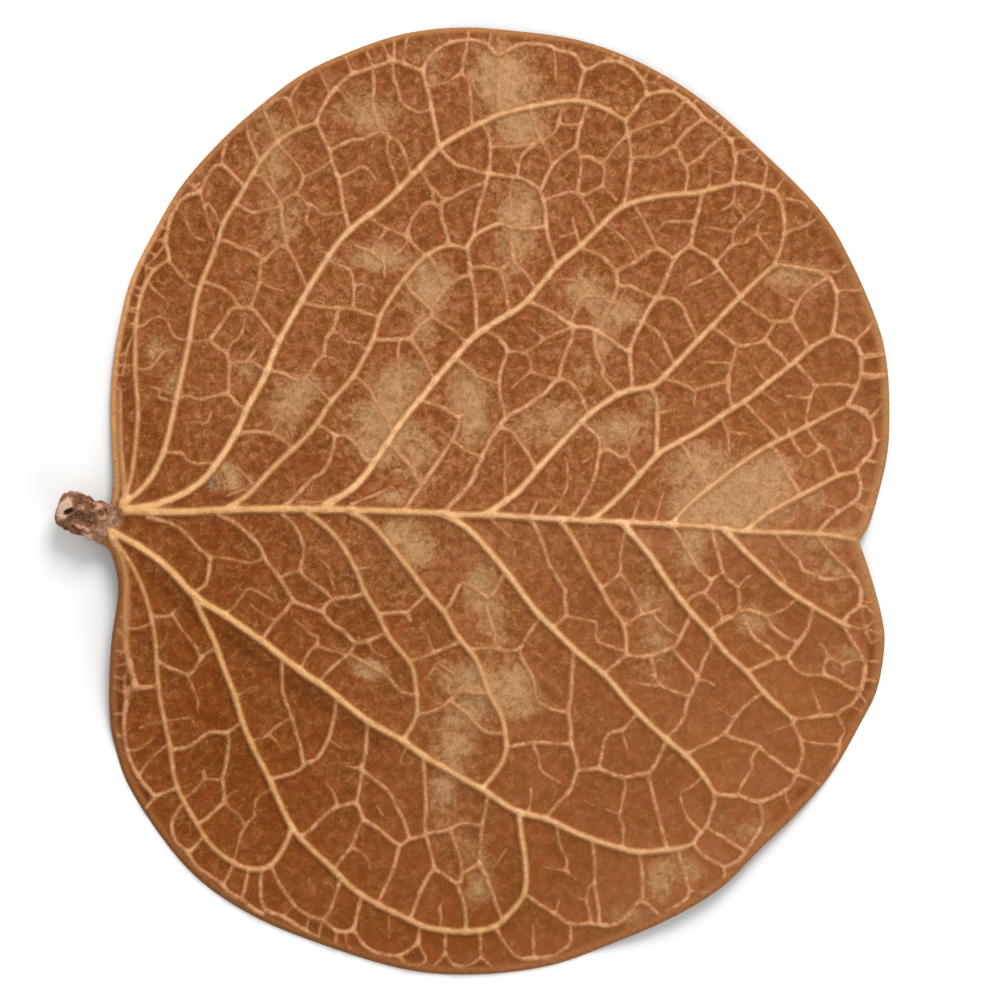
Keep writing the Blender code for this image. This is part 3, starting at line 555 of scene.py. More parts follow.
def underside(points, nerve_distance):
    """Height of the lower face: a low dome folded along the midrib, with a waved margin.

    The waves grow towards the margin. Between the nerves the blade sinks a little, and whatever would
    reach the surface it lies on is pressed flat there: h becomes h^2 / (h + TOUCH_DOWN), and 0 below 0.
    """
    x, y = points.T
    across = (x - DOME_CENTRE[0]) / DOME_RADII[0]
    along = (y - DOME_CENTRE[1]) / DOME_RADII[1]
    reach = np.hypot(across, along)
    angle = np.arctan2(along, across)
    beside_fold = np.hypot(y - MIDRIB_LINE[0] - MIDRIB_LINE[1] * x, FOLD_ROUNDING)
    height = RIM_LIFT + DOME_HEIGHT * (1 - reach**2) + FOLD_HEIGHT * np.exp(-beside_fold / FOLD_REACH)
    for size, growth, count, turn in WAVES:
        height -= size * reach**growth * np.cos(count * (angle - np.radians(turn)))
    height -= QUILT_DEPTH * (1 - bell(nerve_distance, QUILT_REACH))
    pressed = np.maximum(height, 0)
    return pressed**2 / (pressed + TOUCH_DOWN)


def ridge(middle, flank, share, foot):
    """A parabola over the vein and a foot on each side, as high as the given share of its half width."""
    half = np.maximum(middle - flank, 0)
    return share * half * np.maximum(0, 1 - (middle / (half + foot))**2)


def crumple(points, size, seed):
    """Soft random hills about as wide as size, mostly from -1 to 1: the mean of sine waves that run in random
    directions, times CRUMPLE_GAIN."""
    chance = np.random.default_rng(seed)
    directions = chance.normal(size=(CRUMPLE_WAVES, points.shape[-1]))
    directions /= np.linalg.norm(directions, axis=1, keepdims=True)
    pitch = 2 * np.pi / (size * chance.uniform(*CRUMPLE_PITCH, CRUMPLE_WAVES))
    phase = chance.uniform(0, 2 * np.pi, CRUMPLE_WAVES)
    return np.sin(points @ (directions * pitch[:, None]).T + phase).mean(axis=-1) * CRUMPLE_GAIN


low = underside(flat, nerve_middle)
veins_up = np.maximum.reduce([
    ridge(nerve_middle, nerve_flank, *NERVE_RIDGE),
    ridge(loop_middle, loop_flank, *LOOP_RIDGE),
    ridge(net_middle, net_flank, *NET_RIDGE),
])
to_vein = np.maximum(np.minimum.reduce([nerve_flank, loop_flank, net_flank]), 0)
relief = veins_up - MESH_DEPTH * (1 - bell(to_vein, MESH_REACH))
relief += sum(height * crumple(flat, size, seed) for height, size, seed in CRUMPLES)
relief += WELT_HEIGHT * bell(to_edge - WELT_PLACE, WELT_REACH)
relief -= SPLIT_DEPTH * bell(split_middle, SPLIT_REACH)
relief -= HOLLOW_DEPTH * bell(hollow_middle, HOLLOW_REACH)
inward = 1 - (1 - np.minimum(to_edge / EDGE_ROUNDING, 1))**2
high = low + THICKNESS * np.sqrt(inward) + relief * inward

# The stains: khaki bloom where the tissue has bleached, darker stretches of the russet that are partly
# painted shade where the lower lobe and the margins turn from the light, paler stretches that are painted
# light below the midrib and towards the lower right with pale tissue beside the midrib, worm-eaten cells,
# grey fuzz where the nerves fan out from the stalk, and a golden margin beside it. Each spot is written as
# its middle, its half widths and its strength. The band of cells inside the welt is darker too.
STAINS = {
    "bloom": """
370,115 32,24 0.8; 505,78 33,42 1.0; 522,128 28,22 0.8; 432,64 14,30 0.6; 565,100 30,20 0.4; 270,150 22,48
0.6; 285,225 20,32 0.5; 520,212 30,28 0.8; 515,255 20,26 0.6; 375,258 38,15 0.8; 430,285 24,30 0.9; 420,328
15,20 0.6; 585,292 24,18 0.9; 602,332 16,30 0.7; 628,315 20,15 0.7; 560,320 22,15 0.4; 302,390 22,18 0.7;
287,412 20,22 0.6; 400,378 26,24 0.8; 384,424 32,34 1.0; 465,388 22,28 0.8; 475,422 18,24 0.7; 420,462 26,38
0.6; 545,425 40,26 0.6; 620,430 28,22 0.8; 698,460 34,22 0.8; 700,502 34,26 0.85; 735,510 36,22 1.0; 770,470
28,18 1.0; 745,490 34,26 0.9; 690,550 16,26 0.9; 800,500 44,24 0.5; 825,538 34,10 0.5; 800,277 40,18 0.7;
850,440 24,30 0.3; 155,352 20,26 0.5; 176,382 12,28 0.5; 228,469 9,6 1.0; 231,480 10,12 1.0; 402,532 22,15
1.0; 416,553 17,18 1.0; 482,596 20,26 0.8; 495,628 13,24 0.6; 368,669 19,10 1.0; 455,672 26,16 0.6; 490,684
32,18 0.8; 516,682 14,20 1.0; 522,707 22,13 0.8; 470,712 26,20 0.8; 456,744 20,20 0.8; 445,790 20,26 0.8;
455,832 30,26 0.4; 480,882 16,30 0.6; 650,600 20,20 0.5; 655,642 20,40 0.5; 755,620 20,18 0.7; 842,655 26,26
0.4; 822,572 42,30 0.4; 660,880 18,32 0.6; 630,916 22,10 0.5; 690,868 24,20 0.5; 248,368 16,16 0.5; 478,574
12,14 0.6; 392,497 17,7 1.0; 372,450 20,16 0.7; 848,534 11,5 0.9; 752,830 32,20 0.4; 330,445 20,14 0.2;
650,400 18,20 0.4; 582,368 20,20 0.4; 690,130 50,30 0.3
""",
    "dark_stain_and_shade": """
200,640 90,130 1.0; 250,760 140,130 1.0; 180,860 120,90 0.8; 330,900 150,80 0.7; 230,560 130,40 0.5; 150,440
50,100 0.5; 180,260 50,60 0.4; 320,465 70,30 0.4; 440,210 60,40 0.3; 540,880 90,60 0.4; 330,620 90,60 0.5;
700,140 70,40 0.2; 600,790 90,50 0.3; 500,340 50,30 0.3; 650,350 60,40 0.2; 120,560 14,40 0.8; 122,650 12,70
0.6; 330,935 60,20 0.6; 440,945 90,25 0.6; 650,75 60,25 0.4; 150,240 20,60 0.5; 480,920 60,30 0.4; 740,240
30,40 0.3; 220,290 15,40 0.4; 320,440 30,30 0.4
""",
    "pale_stain_and_light": """
280,500 30,10 0.7; 230,476 12,14 1.0; 350,560 60,30 0.4; 470,555 50,30 0.7; 560,540 60,20 0.5; 680,540 70,18
0.8; 780,540 40,18 0.8; 850,540 14,20 1.0; 868,500 12,40 0.8; 640,900 60,50 0.4; 720,880 60,40 0.3; 860,300
20,60 0.4; 870,400 15,40 0.3
""",
    "cells": """
236,501 9,4 0.5; 222,500 8,4 0.4; 104,542 12,9 0.6; 871,482 4,4 0.6; 868,498 3,4 0.6; 113,491 4,4 1.0;
208,487 5,8 0.7; 217,499 9,3 0.6; 120,640 2.5,13 1.0; 123,672 3.5,13 1.0; 119,712 3.5,12 1.0; 121,747 3,9
0.7; 131,771 3,7 0.6; 146,797 4,6 0.9; 312,927 6,5 0.8; 416,956 6,6 0.9; 480,967 6,3 0.9; 870,686 5,4 0.9;
865,700 4,4 0.8; 849,714 8,6 0.4; 847,736 4,6 0.7; 802,792 9,7 0.7; 872,655 4,14 0.7; 156,254 8,9 0.7;
143,275 5,8 0.8; 134,296 4,6 0.9; 128,342 5,14 0.7; 126,386 5,12 0.6; 164,225 3,6 0.6; 117,353 2,4 0.6;
186,192 9,4 0.5; 217,154 4,4 0.6; 871,342 8,8 0.7; 874,363 8,6 0.6; 870,392 10,12 0.6; 838,260 6,5 0.6;
846,278 5,6 0.4; 882,417 3,6 0.6
""",
    "fuzz": "112,519 12,10 1.0; 103,515 9,12 0.8; 118,511 7,6 0.6; 214,483 8,11 0.8",
    "gold": "117,455 6,45 1.0; 118,410 5,40 0.6; 120,478 7,14 0.7; 124,605 8,55 1.0",
}
CELL_BAND = 0.2
CELL_REACH = 0.4


def spots(text):
    """How strong a stain is at each point: soft oval spots, most * exp(-dx^2 - dy^2) with the offsets in half
    widths. Two spots join as a + b - a b, so that the stain never passes 1."""
    x, y = (flat / (SHEET_STEP, -SHEET_STEP) + SHEET_CENTRE).T
    stain = np.zeros(len(flat))
    for words in text.replace(",", " ").split(";"):
        middle_x, middle_y, across, along, most = map(float, words.split())
        spot = most * np.exp(-((x - middle_x) / across)**2 - ((y - middle_y) / along)**2)
        stain = stain + spot - stain * spot
    return stain


stains = {name: spots(text) for name, text in STAINS.items()}
welt_width = welt_width_at(flat)
band = CELL_BAND * bell(to_edge - welt_width - CELL_REACH, CELL_REACH)
stains["cells"] += band - stains["cells"] * band

# The faces of the blade, top and bottom, and the six pieces that they are cut into so that no mesh grows too
# large. The pieces meet point for point and share the normals of the whole blade, so that no joint shows.
CUT_X = 1.0
CUTS_Y = (-15.5, 15.5)

# A point's partner is the one below it, on the lower face; on the rim the two are one point.
partner = np.where(on_rim, np.arange(len(flat)), len(flat) + np.cumsum(~on_rim) - 1)
points = np.vstack([np.column_stack([flat, high]), np.column_stack([flat, low])[~on_rim]])
points[:len(flat)][on_rim, 2] = low[on_rim]
across, along = np.nonzero(kept)
upper = np.column_stack([number[across, along], number[across + 1, along],
                         number[across + 1, along + 1], number[across, along + 1]])
lower = partner[upper][:, ::-1]
middle = flat[upper].mean(axis=1)
piece_number = np.digitize(middle[:, 0], [CUT_X]) + 2 * np.digitize(middle[:, 1], CUTS_Y)


def point_normals(points, faces):
    """Each point's normal: the sum of its faces' normals, each the cross product of a face's diagonals."""
    crossed = np.cross(points[faces[:, 2]] - points[faces[:, 0]], points[faces[:, 3]] - points[faces[:, 1]])
    total = np.column_stack([
        sum(np.bincount(corner, crossed[:, axis], len(points)) for corner in faces.T) for axis in range(3)
    ])
    return total / np.linalg.norm(total, axis=1, keepdims=True)


def walls(faces):
    """The faces that close a piece where it is cut: below each cut edge of its top, down to its bottom."""
    starts, ends = faces.ravel(), np.roll(faces, -1, axis=1).ravel()
    cut = ~np.isin(starts * len(points) + ends, ends * len(points) + starts)
    cut &= (partner[starts] != starts) | (partner[ends] != ends)
    return [tuple(dict.fromkeys((end, start, partner[start], partner[end])))
            for start, end in zip(starts[cut].tolist(), ends[cut].tolist())]


def as_object(name, points, faces, normals=None, **fields):
    """A smooth piece of the points in millimetres, with a number at each point for every named field."""
    mesh = bpy.data.meshes.new(name)
    mesh.from_pydata(np.asarray(points) * 0.001, [], faces)
    mesh.shade_smooth()
    if normals is not None:
        mesh.normals_split_custom_set_from_vertices(normals)
    for field, values in fields.items():
        mesh.attributes.new(field, "FLOAT", "POINT").data.foreach_set("value", values.astype(np.float32))
    piece = bpy.data.objects.new(name, mesh)
    bpy.context.scene.collection.objects.link(piece)
    return piece


blade_normals = point_normals(points, np.vstack([upper, lower]))
top_fields = {"nerve": nerve_flank, "loop": loop_flank, "net": net_flank, "strength": strength,
              "to_edge": to_edge, "welt_width": welt_width, "split": split_flank, "hollow": hollow_flank}
blade_fields = {name: np.concatenate([values, values[~on_rim]])
                for name, values in {**top_fields, **stains}.items()}
blade_fields["facing_down"] = (np.arange(len(points)) >= len(flat)).astype(float)
blade_pieces = []
for index in range(2 * (len(CUTS_Y) + 1)):
    mine = piece_number == index
    faces = [*upper[mine].tolist(), *lower[mine].tolist(), *walls(upper[mine])]
    own, places = np.unique(np.concatenate([np.ravel(face) for face in faces]), return_inverse=True)
    lengths = [len(face) for face in faces]
    starts = np.cumsum([0, *lengths[:-1]])
    renumbered = [places[start:start + length].tolist() for start, length in zip(starts, lengths)]
    blade_pieces.append(as_object(f"blade_{index + 1}", points[own], renumbered, blade_normals[own],
                                  **{name: values[own] for name, values in blade_fields.items()}))


def colour(red, green, blue):
    """A colour as a picture shows it, 0 to 255, in the linear light of materials, by the sRGB curve."""
    shown = np.array([red, green, blue]) / 255
    linear = np.where(shown <= 0.04045, shown / 12.92, ((shown + 0.055) / 1.055)**2.4)
    return (*linear.tolist(), 1.0)


class Shade:
    """A number or colour that a material's nodes work out at each point; arithmetic on it adds Math nodes."""

    def __init__(self, finish, socket):
        self.finish = finish
        self.socket = socket

    def math(self, operation, first, second):
        """The Math node's result for the two numbers."""
        return self.finish.node("ShaderNodeMath", {"operation": operation}, {0: first, 1: second})

    def __add__(self, other):
        return self.math("ADD", self, other)

    def __sub__(self, other):
        return self.math("SUBTRACT", self, other)

    def __rsub__(self, other):
        return self.math("SUBTRACT", other, self)

    def __mul__(self, other):
        return self.math("MULTIPLY", self, other)

    def __truediv__(self, other):
        return self.math("DIVIDE", self, other)

    __radd__ = __add__
    __rmul__ = __mul__

    def least(self, other):
        """The smaller of the two numbers."""
        return self.math("MINIMUM", self, other)

    def ease(self, start, end):
        """From 0 where this number is at the start to 1 at the end, along a soft S."""
        sockets = {"Value": self, "From Min": start, "From Max": end}
        return self.finish.node("ShaderNodeMapRange", {"interpolation_type": "SMOOTHSTEP"}, sockets)

    def between(self, first, second):
        """From the first colour where this number is 0 to the second one where it is 1."""
        return self.finish.node("ShaderNodeMix", {"data_type": "RGBA"}, {0: self, 6: first, 7: second}, 2)

    def under(self, *layers):
        """This colour with layers laid over it, each a colour and the share of it that shows."""
        shown = self
        for other, share in layers:
            shown = share.between(shown, other)
        return shown


class Finish:
    """A material and the nodes in front of its one shader. Its patterns lie in millimetres of the leaf."""

    def __init__(self, name):
        self.material = bpy.data.materials.new(name)
        self.material.use_nodes = True
        self.tree = self.material.node_tree
        self.shader = self.tree.nodes["Principled BSDF"]
        metres = self.node("ShaderNodeTexCoord", {}, {}, "Object")
        self.place = self.node("ShaderNodeVectorMath", {"operation": "SCALE"}, {0: metres, "Scale": 1000})

    def node(self, kind, settings, sockets, output=0):
        """A node of the kind, with its settings made first, and then its sockets filled or linked."""
        made = self.tree.nodes.new(kind)
        for name, value in settings.items():
            setattr(made, name, value)
        for name, value in sockets.items():
            self.fill(made.inputs[name], value)
        return Shade(self, made.outputs[output])

    def fill(self, socket, value):
        """Links the socket to the value if that is a Shade, and sets it otherwise."""
        if isinstance(value, Shade):
            self.tree.links.new(value.socket, socket)
        else:
            socket.default_value = value

    def shade(self, **sockets):
        """Fills or links the shader's own sockets, with _ for each space of their names."""
        for name, value in sockets.items():
            self.fill(self.shader.inputs[name.replace("_", " ")], value)

    def field(self, name):
        """The number that the mesh holds at each point under the name."""
        return self.node("ShaderNodeAttribute", {"attribute_name": name}, {}, "Fac")

    def along(self, axis):
        """The place along X, Y or Z, in millimetres."""
        return self.node("ShaderNodeSeparateXYZ", {}, {"Vector": self.place}, axis)

    def noise(self, size, detail=2.0, roughness=0.5, warp=0.0):
        """Cloudy grey from 0 to 1, its blots about as wide as size."""
        sockets = {"Vector": self.place, "Scale": 1 / size, "Detail": detail, "Roughness": roughness,
                   "Distortion": warp}
        return self.node("ShaderNodeTexNoise", {}, sockets)

    def bump(self, height):
        """The normal of a surface that stands up by the height in millimetres."""
        return self.node("ShaderNodeBump", {}, {"Height": height, "Distance": 0.001})


# The blade's tissue: russet, darker and warmer on the stalk's side, partly as painted shade, with olive and
# pinkish blotches, khaki bloom, short pale threads of the last net, a dark hem of painted shade beside every
# vein, and a plain welt along the edge. The face that lies down is plainer and darker.
RUSSET = colour(150, 86, 44)
OLIVE_RUSSET = colour(142, 85, 38)
DEEP_RUSSET = colour(131, 63, 8)
DEEP_OLIVE = colour(122, 64, 9)
BROWN_SPECK = colour(98, 47, 9)
PINK_SPECK = colour(192, 132, 88)
KHAKI = colour(190, 148, 104)
DULL_KHAKI = colour(166, 120, 76)
CELL_BROWN = colour(98, 44, 12)
CRACK_BROWN = colour(92, 50, 26)
FUZZ_DARK = colour(122, 84, 54)
FUZZ_PALE = colour(176, 136, 104)
NERVE_TAN = colour(206, 152, 106)
NERVE_PALE = colour(237, 187, 137)
NERVE_OCHRE = colour(202, 146, 94)
NERVE_YELLOW = colour(234, 180, 115)
NERVE_FLANK = colour(192, 136, 82)
LOOP_TAN = colour(214, 156, 110)
NET_TAN = colour(204, 144, 98)
VEIN_DULL = colour(170, 109, 61)
FIBRE_PALE = colour(244, 200, 150)
WELT_PALE = colour(220, 161, 103)
WELT_WARM = colour(176, 118, 71)
WELT_TAN = colour(163, 108, 65)
WELT_TIP = colour(175, 122, 76)
WELT_DULL = colour(160, 104, 61)
WELT_DARK = colour(146, 92, 50)
GOLD_TAN = colour(174, 120, 72)
DOWN_BROWN = colour(104, 60, 34)
DOWN_VEIN = colour(134, 88, 56)
LAST_NET_CELL = 1.5
LAST_NET_BEND = 0.6

# Where each change along the leaf starts and where it is complete, in millimetres of x and y, and the half
# widths between which a nerve becomes a strong one.
ROUGH_SIDE = (60.0, -15.0)
LOWER_LOBE = (2.0, -8.0)
WARM_WELT = (15.0, -10.0)
PALE_WELT = (-28.0, -34.0)
TIP_WELT_ALONG = (25.0, 34.0)
TIP_WELT_ACROSS = (24.0, 15.0)
DULL_WELT = (-10.0, 15.0)
UPPER_WELT = (-9.0, 6.0)
UPPER_WELT_DIPS = (0.0, 40.0)
UPPER_WELT_DIP = 12
BELOW_MIDRIB = (-2.6, -1.6)
ABOVE_MIDRIB = (0.3, -0.5)
GOLDEN_SIDE = (20.0, -25.0)
PLAINER_TIP = (15.0, 40.0)
STRONG_NERVE = (0.15, 0.36)

tissue = Finish("dry leaf tissue")
grain = tissue.noise(0.32, detail=3, roughness=0.6, warp=0.8)
blotch = tissue.noise(0.9, detail=3, roughness=0.55, warp=0.5)
patch = tissue.noise(2.6, detail=2, warp=0.4)
fluff = tissue.noise(0.17, detail=2)
nerve, loop, net, dark_stain_and_shade = (tissue.field(name) for name in ("nerve", "loop", "net", "dark_stain_and_shade"))
x, y = (tissue.along(axis) for axis in "XY")
rough = (x - y).ease(*ROUGH_SIDE) * 0.65 + 0.35
lower_lobe = y.ease(*LOWER_LOBE)

# The fields: russet or olive, pinkish where rough, bleached to khaki in places, and darker beside the veins
# as painted shade.
olive = patch.ease(0.42, 0.6)
pinkish = rough * (1 - dark_stain_and_shade * 0.5)
khaki = (grain * 0.6 + blotch * 0.4).ease(0.6, 0.36).between(KHAKI, DULL_KHAKI)
bleached = (tissue.field("bloom") + patch * 0.7 + blotch * 0.6 + grain * 0.3 - 0.8).ease(0.1, 0.9)
vein_shade = nerve.least(loop).ease(0.5, 0.0) * 0.2 + net.ease(0.3, 0.0) * 0.1

# The last net: the walls of small cells, bent by a coarse noise, and shown here and there.
bending = {"Vector": tissue.place, "Scale": LAST_NET_BEND, "Detail": 1.0}
bent = tissue.node("ShaderNodeTexNoise", {}, bending, "Color")
bent = tissue.node("ShaderNodeVectorMath", {"operation": "ADD"}, {0: tissue.place, 1: bent})
cells = {"Vector": bent, "Scale": 1 / LAST_NET_CELL}
cell_walls = tissue.node("ShaderNodeTexVoronoi", {"feature": "DISTANCE_TO_EDGE"}, cells)
any_vein = nerve.least(loop).least(net).ease(0.06, -0.08)
threads = cell_walls.ease(0.07, 0.0) * (blotch * 0.5 + patch * 0.5).ease(0.42, 0.6) * (1 - any_vein)
threads = threads * grain.ease(0.36, 0.56) * rough

# The welt: pale by the stalk, tan along the upper lobe and at the tip, and dark along the lower lobe.
ragged = grain * 0.16 + blotch * 0.5 - 0.33
golden = (tissue.field("gold") + grain * 0.4 - 0.2).ease(0.2, 0.8)
upper_welt = x.ease(*WARM_WELT).between(WELT_TAN, WELT_WARM).under(
    (WELT_PALE, x.ease(*PALE_WELT)),
    (WELT_TIP, x.ease(*TIP_WELT_ALONG) * y.ease(*TIP_WELT_ACROSS)),
)
lower_welt = x.ease(*DULL_WELT).between(WELT_DARK, WELT_DULL)
above = (y + x.ease(*UPPER_WELT_DIPS) * UPPER_WELT_DIP).ease(*UPPER_WELT)
welt_colour = above.between(lower_welt, upper_welt)
welt_colour = welt_colour.under((BROWN_SPECK, grain.ease(0.45, 0.6) * 0.3))
welt = tissue.field("to_edge") / tissue.field("welt_width")

# The veins: tan, yellower by the stalk and on the lower lobe, and palest on the crests of the strongest.
faded = (blotch * 0.6 + patch * 0.4).ease(0.44, 0.56)
fibre = grain * 0.6 + fluff * 0.4


def fibrous(shown, shadow):
    """The colour with darker and paler fibres running through it."""
    return shown.under((shadow, fibre.ease(0.49, 0.37) * 0.4), (FIBRE_PALE, fibre.ease(0.51, 0.63) * 0.4))


net_faded = faded * 0.6 + lower_lobe * 0.15 + dark_stain_and_shade * 0.15
net_colour = fibrous(net_faded.between(NET_TAN, VEIN_DULL), RUSSET)
loop_colour = fibrous((faded * 0.6 + lower_lobe * 0.2).between(LOOP_TAN, VEIN_DULL), RUSSET)
loop_colour = loop_colour.under((GOLD_TAN, golden * 0.8))
by_midrib = y.ease(*BELOW_MIDRIB) * y.ease(*ABOVE_MIDRIB)
golden_side = x.ease(*GOLDEN_SIDE) * (1 - (1 - lower_lobe) * (1 - by_midrib))
yellow = 1 - (1 - dark_stain_and_shade) * (1 - golden_side)
strong = tissue.field("strength").ease(*STRONG_NERVE) * (1 - x.ease(*PLAINER_TIP) * 0.3)
yellow_crest = (strong * (1 - by_midrib * 0.4)).between(NERVE_OCHRE, NERVE_YELLOW)
crest = strong.between(NERVE_TAN, NERVE_PALE).under((yellow_crest, yellow * 0.9))
nerve_colour = (nerve + ragged * 0.5).ease(0.02, -0.2).between(NERVE_FLANK, crest)
nerve_colour = fibrous(nerve_colour.under((VEIN_DULL, faded * 0.2)), NERVE_FLANK)

# All the layers from the ground up; the last is the plain colour of the face that lies down.
fuzz_colour = (grain * 0.5 + blotch * 0.5).ease(0.36, 0.62).between(FUZZ_DARK, FUZZ_PALE)
tissue_colour = olive.between(RUSSET, OLIVE_RUSSET).under(
    # Darker stretches: partly painted shade where the lower lobe and the margins turn from the light.
    (olive.between(DEEP_RUSSET, DEEP_OLIVE), dark_stain_and_shade * 0.9),
    # Paler stretches: painted light below the midrib and towards the lower right, and pale tissue beside the
    # midrib.
    (PINK_SPECK, tissue.field("pale_stain_and_light") * 0.35),
    (BROWN_SPECK, blotch.ease(0.54, 0.36) * rough * 0.5),
    (PINK_SPECK, blotch.ease(0.52, 0.7) * pinkish * 0.36),
    (BROWN_SPECK, grain.ease(0.5, 0.36) * rough * 0.36),
    (PINK_SPECK, grain.ease(0.52, 0.68) * pinkish * 0.26),
    (khaki, bleached * 0.85),
    # Painted shade: a dark hem beside every vein, weaker on the lower lobe.
    (BROWN_SPECK, vein_shade * (1 - lower_lobe * 0.7)),
    # Painted shade in the trough beside the lower lobe's strongest nerve.
    (BROWN_SPECK, tissue.field("hollow").ease(0.4, -0.5) * 0.4),
    (CELL_BROWN, tissue.field("cells") * 0.8),
    (NET_TAN, threads * (0.4 - dark_stain_and_shade * 0.15)),
    (GOLD_TAN, golden * 0.8),
    (welt_colour, (welt + ragged).ease(1.35, 0.5)),
    (net_colour, (net + ragged).ease(0.16, -0.12) * (0.9 - dark_stain_and_shade * 0.2)),
    (loop_colour, (loop + ragged * 0.6).ease(0.22, -0.16)),
    (nerve_colour, (nerve + ragged * 0.6).ease(0.24, -0.12)),
    (fuzz_colour, (tissue.field("fuzz") + grain * 0.8 - 0.4).ease(0.2, 0.7) * 0.85),
    (CRACK_BROWN, (tissue.field("split") + ragged * 0.6).ease(0.08, -0.06) * 0.85),
    (any_vein.between(DOWN_BROWN, DOWN_VEIN), tissue.field("facing_down")),
)
pitted = (grain * 0.03 + blotch * 0.04 + fluff * 0.01) * rough
tissue.shade(
    Base_Color=tissue_colour,
    Roughness=0.85 - any_vein * 0.1,
    Specular_IOR_Level=0.12,
    Normal=tissue.bump(pitted + threads * 0.02 + any_vein * fibre * 0.08),
)
for piece in blade_pieces:
    piece.data.materials.append(tissue.material)
    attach(piece, "root")
    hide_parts("leaf")

# The stump of the stalk: corky and wrinkled, dark in its folds and pinkish grey on their crests, partly its
# own colour and partly painted shade in the folds and painted highlight on the crests. It broke off with a
# pale dished face, hollow in the middle, that looks up to the side. It is a tube round stations along x,
# roughened by crumpled hills, and thins out where the blade begins.
STATIONS = (
    (5.46, 51.7, 0.0, 0.0, 2.55), (5.6, 51.7, 0.7, 0.7, 2.55), (6.0, 51.3, 1.4, 1.2, 2.55),
    (6.5, 51.2, 1.9, 1.6, 2.55), (7.1, 51.3, 2.1, 1.75, 2.55), (7.7, 51.4, 2.15, 1.7, 2.55),
    (8.3, 51.5, 2.2, 1.65, 2.55), (9.0, 51.8, 2.2, 1.5, 2.5), (9.8, 52.1, 2.25, 1.15, 2.45),
    (10.7, 52.1, 1.95, 0.7, 2.35), (11.4, 51.8, 1.35, 0.35, 2.3), (12.0, 51.4, 0.7, 0.15, 2.25),
    (12.4, 51.2, 0.15, 0.1, 2.2),
)
STALK_RINGS = 150
STALK_SIDES = 130
HILLS = (1.3, 11)
FOLDS = (0.6, 12)
FLAKES = (0.3, 14)
ROUND_HILLS = 1.5
FLAKE_HEIGHT = 0.5
DRAWN_OUT = (0.6, 1, 1)
SWELL = 0.17
BREAK_MIDDLE = (6.5, 50.8)
BREAK_RADII = (0.85, 1.5)
BREAK_LEAN = 0.45
BREAK_DEPTH = 0.3
BREAK_LIP = 0.1
LIP_PLACE = 1.1
LIP_REACH = 0.2
CALM_FACE = (0.4, 0.25)
FAR_FROM_BREAK = 3
PIT_MIDDLE = (6.9, 51.15)
PIT_RADII = (0.6, 0.26)
PIT_LEAN = -0.45
PIT_DEPTH = 0.6


def off_middle(x, y, middle, radii, lean):
    """Distance from an oval's middle, 1 on its outline; its long way leans over from y towards x."""
    dx, dy = x - middle[0], middle[1] - y
    return np.hypot((dx * np.cos(lean) - dy * np.sin(lean)) / radii[0],
                    (dx * np.sin(lean) + dy * np.cos(lean)) / radii[1])


def stump_surface():
    """Rings of points round the stations, and the fields that colour them.

    A station is its x and y on the sheet, but in millimetres, its half width, its half height and the height
    of its middle. A ring's point lies at (half width cos t, half height sin t), pushed out and in by hills,
    and by folds and flakes that are drawn out along x. Each of these crumples is its size and its seed. The
    break is dished on top, by 1 - d^2 within an oval, with a lip round it and a pit inside, and the hills are
    calmed there.
    """
    share = np.linspace(0, 1, STALK_RINGS)[:, None]
    station_x, *profile = np.transpose(STATIONS)
    station = station_x[0] + (station_x[-1] - station_x[0]) * (1 - np.cos(np.pi * share)) / 2
    middle, wide, tall, rise = (np.interp(station, station_x, values) for values in profile)
    turn = np.linspace(0, 2 * np.pi, STALK_SIDES, endpoint=False)[None]
    tube = np.dstack(np.broadcast_arrays(station, wide * np.cos(turn), tall * np.sin(turn)))
    hills = ROUND_HILLS * np.abs(crumple(tube, *HILLS)) + np.abs(crumple(tube * DRAWN_OUT, *FOLDS)) - 1
    hills += FLAKE_HEIGHT * crumple(tube * DRAWN_OUT, *FLAKES)
    across = middle - wide * np.cos(turn)
    face = off_middle(station, across, BREAK_MIDDLE, BREAK_RADII, BREAK_LEAN)
    pit = bell(off_middle(station, across, PIT_MIDDLE, PIT_RADII, PIT_LEAN), 1)
    upper = np.sin(turn) > 0
    swell = 1 + SWELL * hills * np.where(upper, np.clip(face - CALM_FACE[0], CALM_FACE[1], 1), 1)
    dish = BREAK_DEPTH * np.clip(1 - face**2, 0, 1) - BREAK_LIP * bell(face - LIP_PLACE, LIP_REACH)
    place = on_leaf(np.dstack([station, middle]) / SHEET_STEP)
    y = place[..., 1] + wide * np.cos(turn) * swell
    z = rise + tall * np.sin(turn) * swell - (dish + PIT_DEPTH * pit) * upper
    fields = {"hill": hills, "pit": np.where(upper, pit, 0), "face": np.where(upper, face, FAR_FROM_BREAK),
              "station": np.broadcast_to(station, hills.shape)}
    return np.dstack(np.broadcast_arrays(place[..., 0], y, z)), fields


stump_rings, stump_fields = stump_surface()
ring_points = stump_rings[1:-1].reshape(-1, 3)
ends = stump_rings[[0, -1]].mean(axis=1)
ids = np.arange(len(ring_points)).reshape(-1, STALK_SIDES)
ahead = np.roll(ids, -1, axis=1)
sides = np.dstack([ids[:-1], ahead[:-1], ahead[1:], ids[1:]]).reshape(-1, 4)
caps = [*zip([len(ring_points)] * STALK_SIDES, ahead[0].tolist(), ids[0].tolist()),
        *zip([len(ring_points) + 1] * STALK_SIDES, ids[-1].tolist(), ahead[-1].tolist())]
stump = as_object(
    "stalk_stump", np.vstack([ring_points, ends]), [*sides.tolist(), *caps],
    **{name: np.concatenate([values[1:-1].ravel(), values[[0, -1]].mean(axis=1)])
       for name, values in stump_fields.items()})

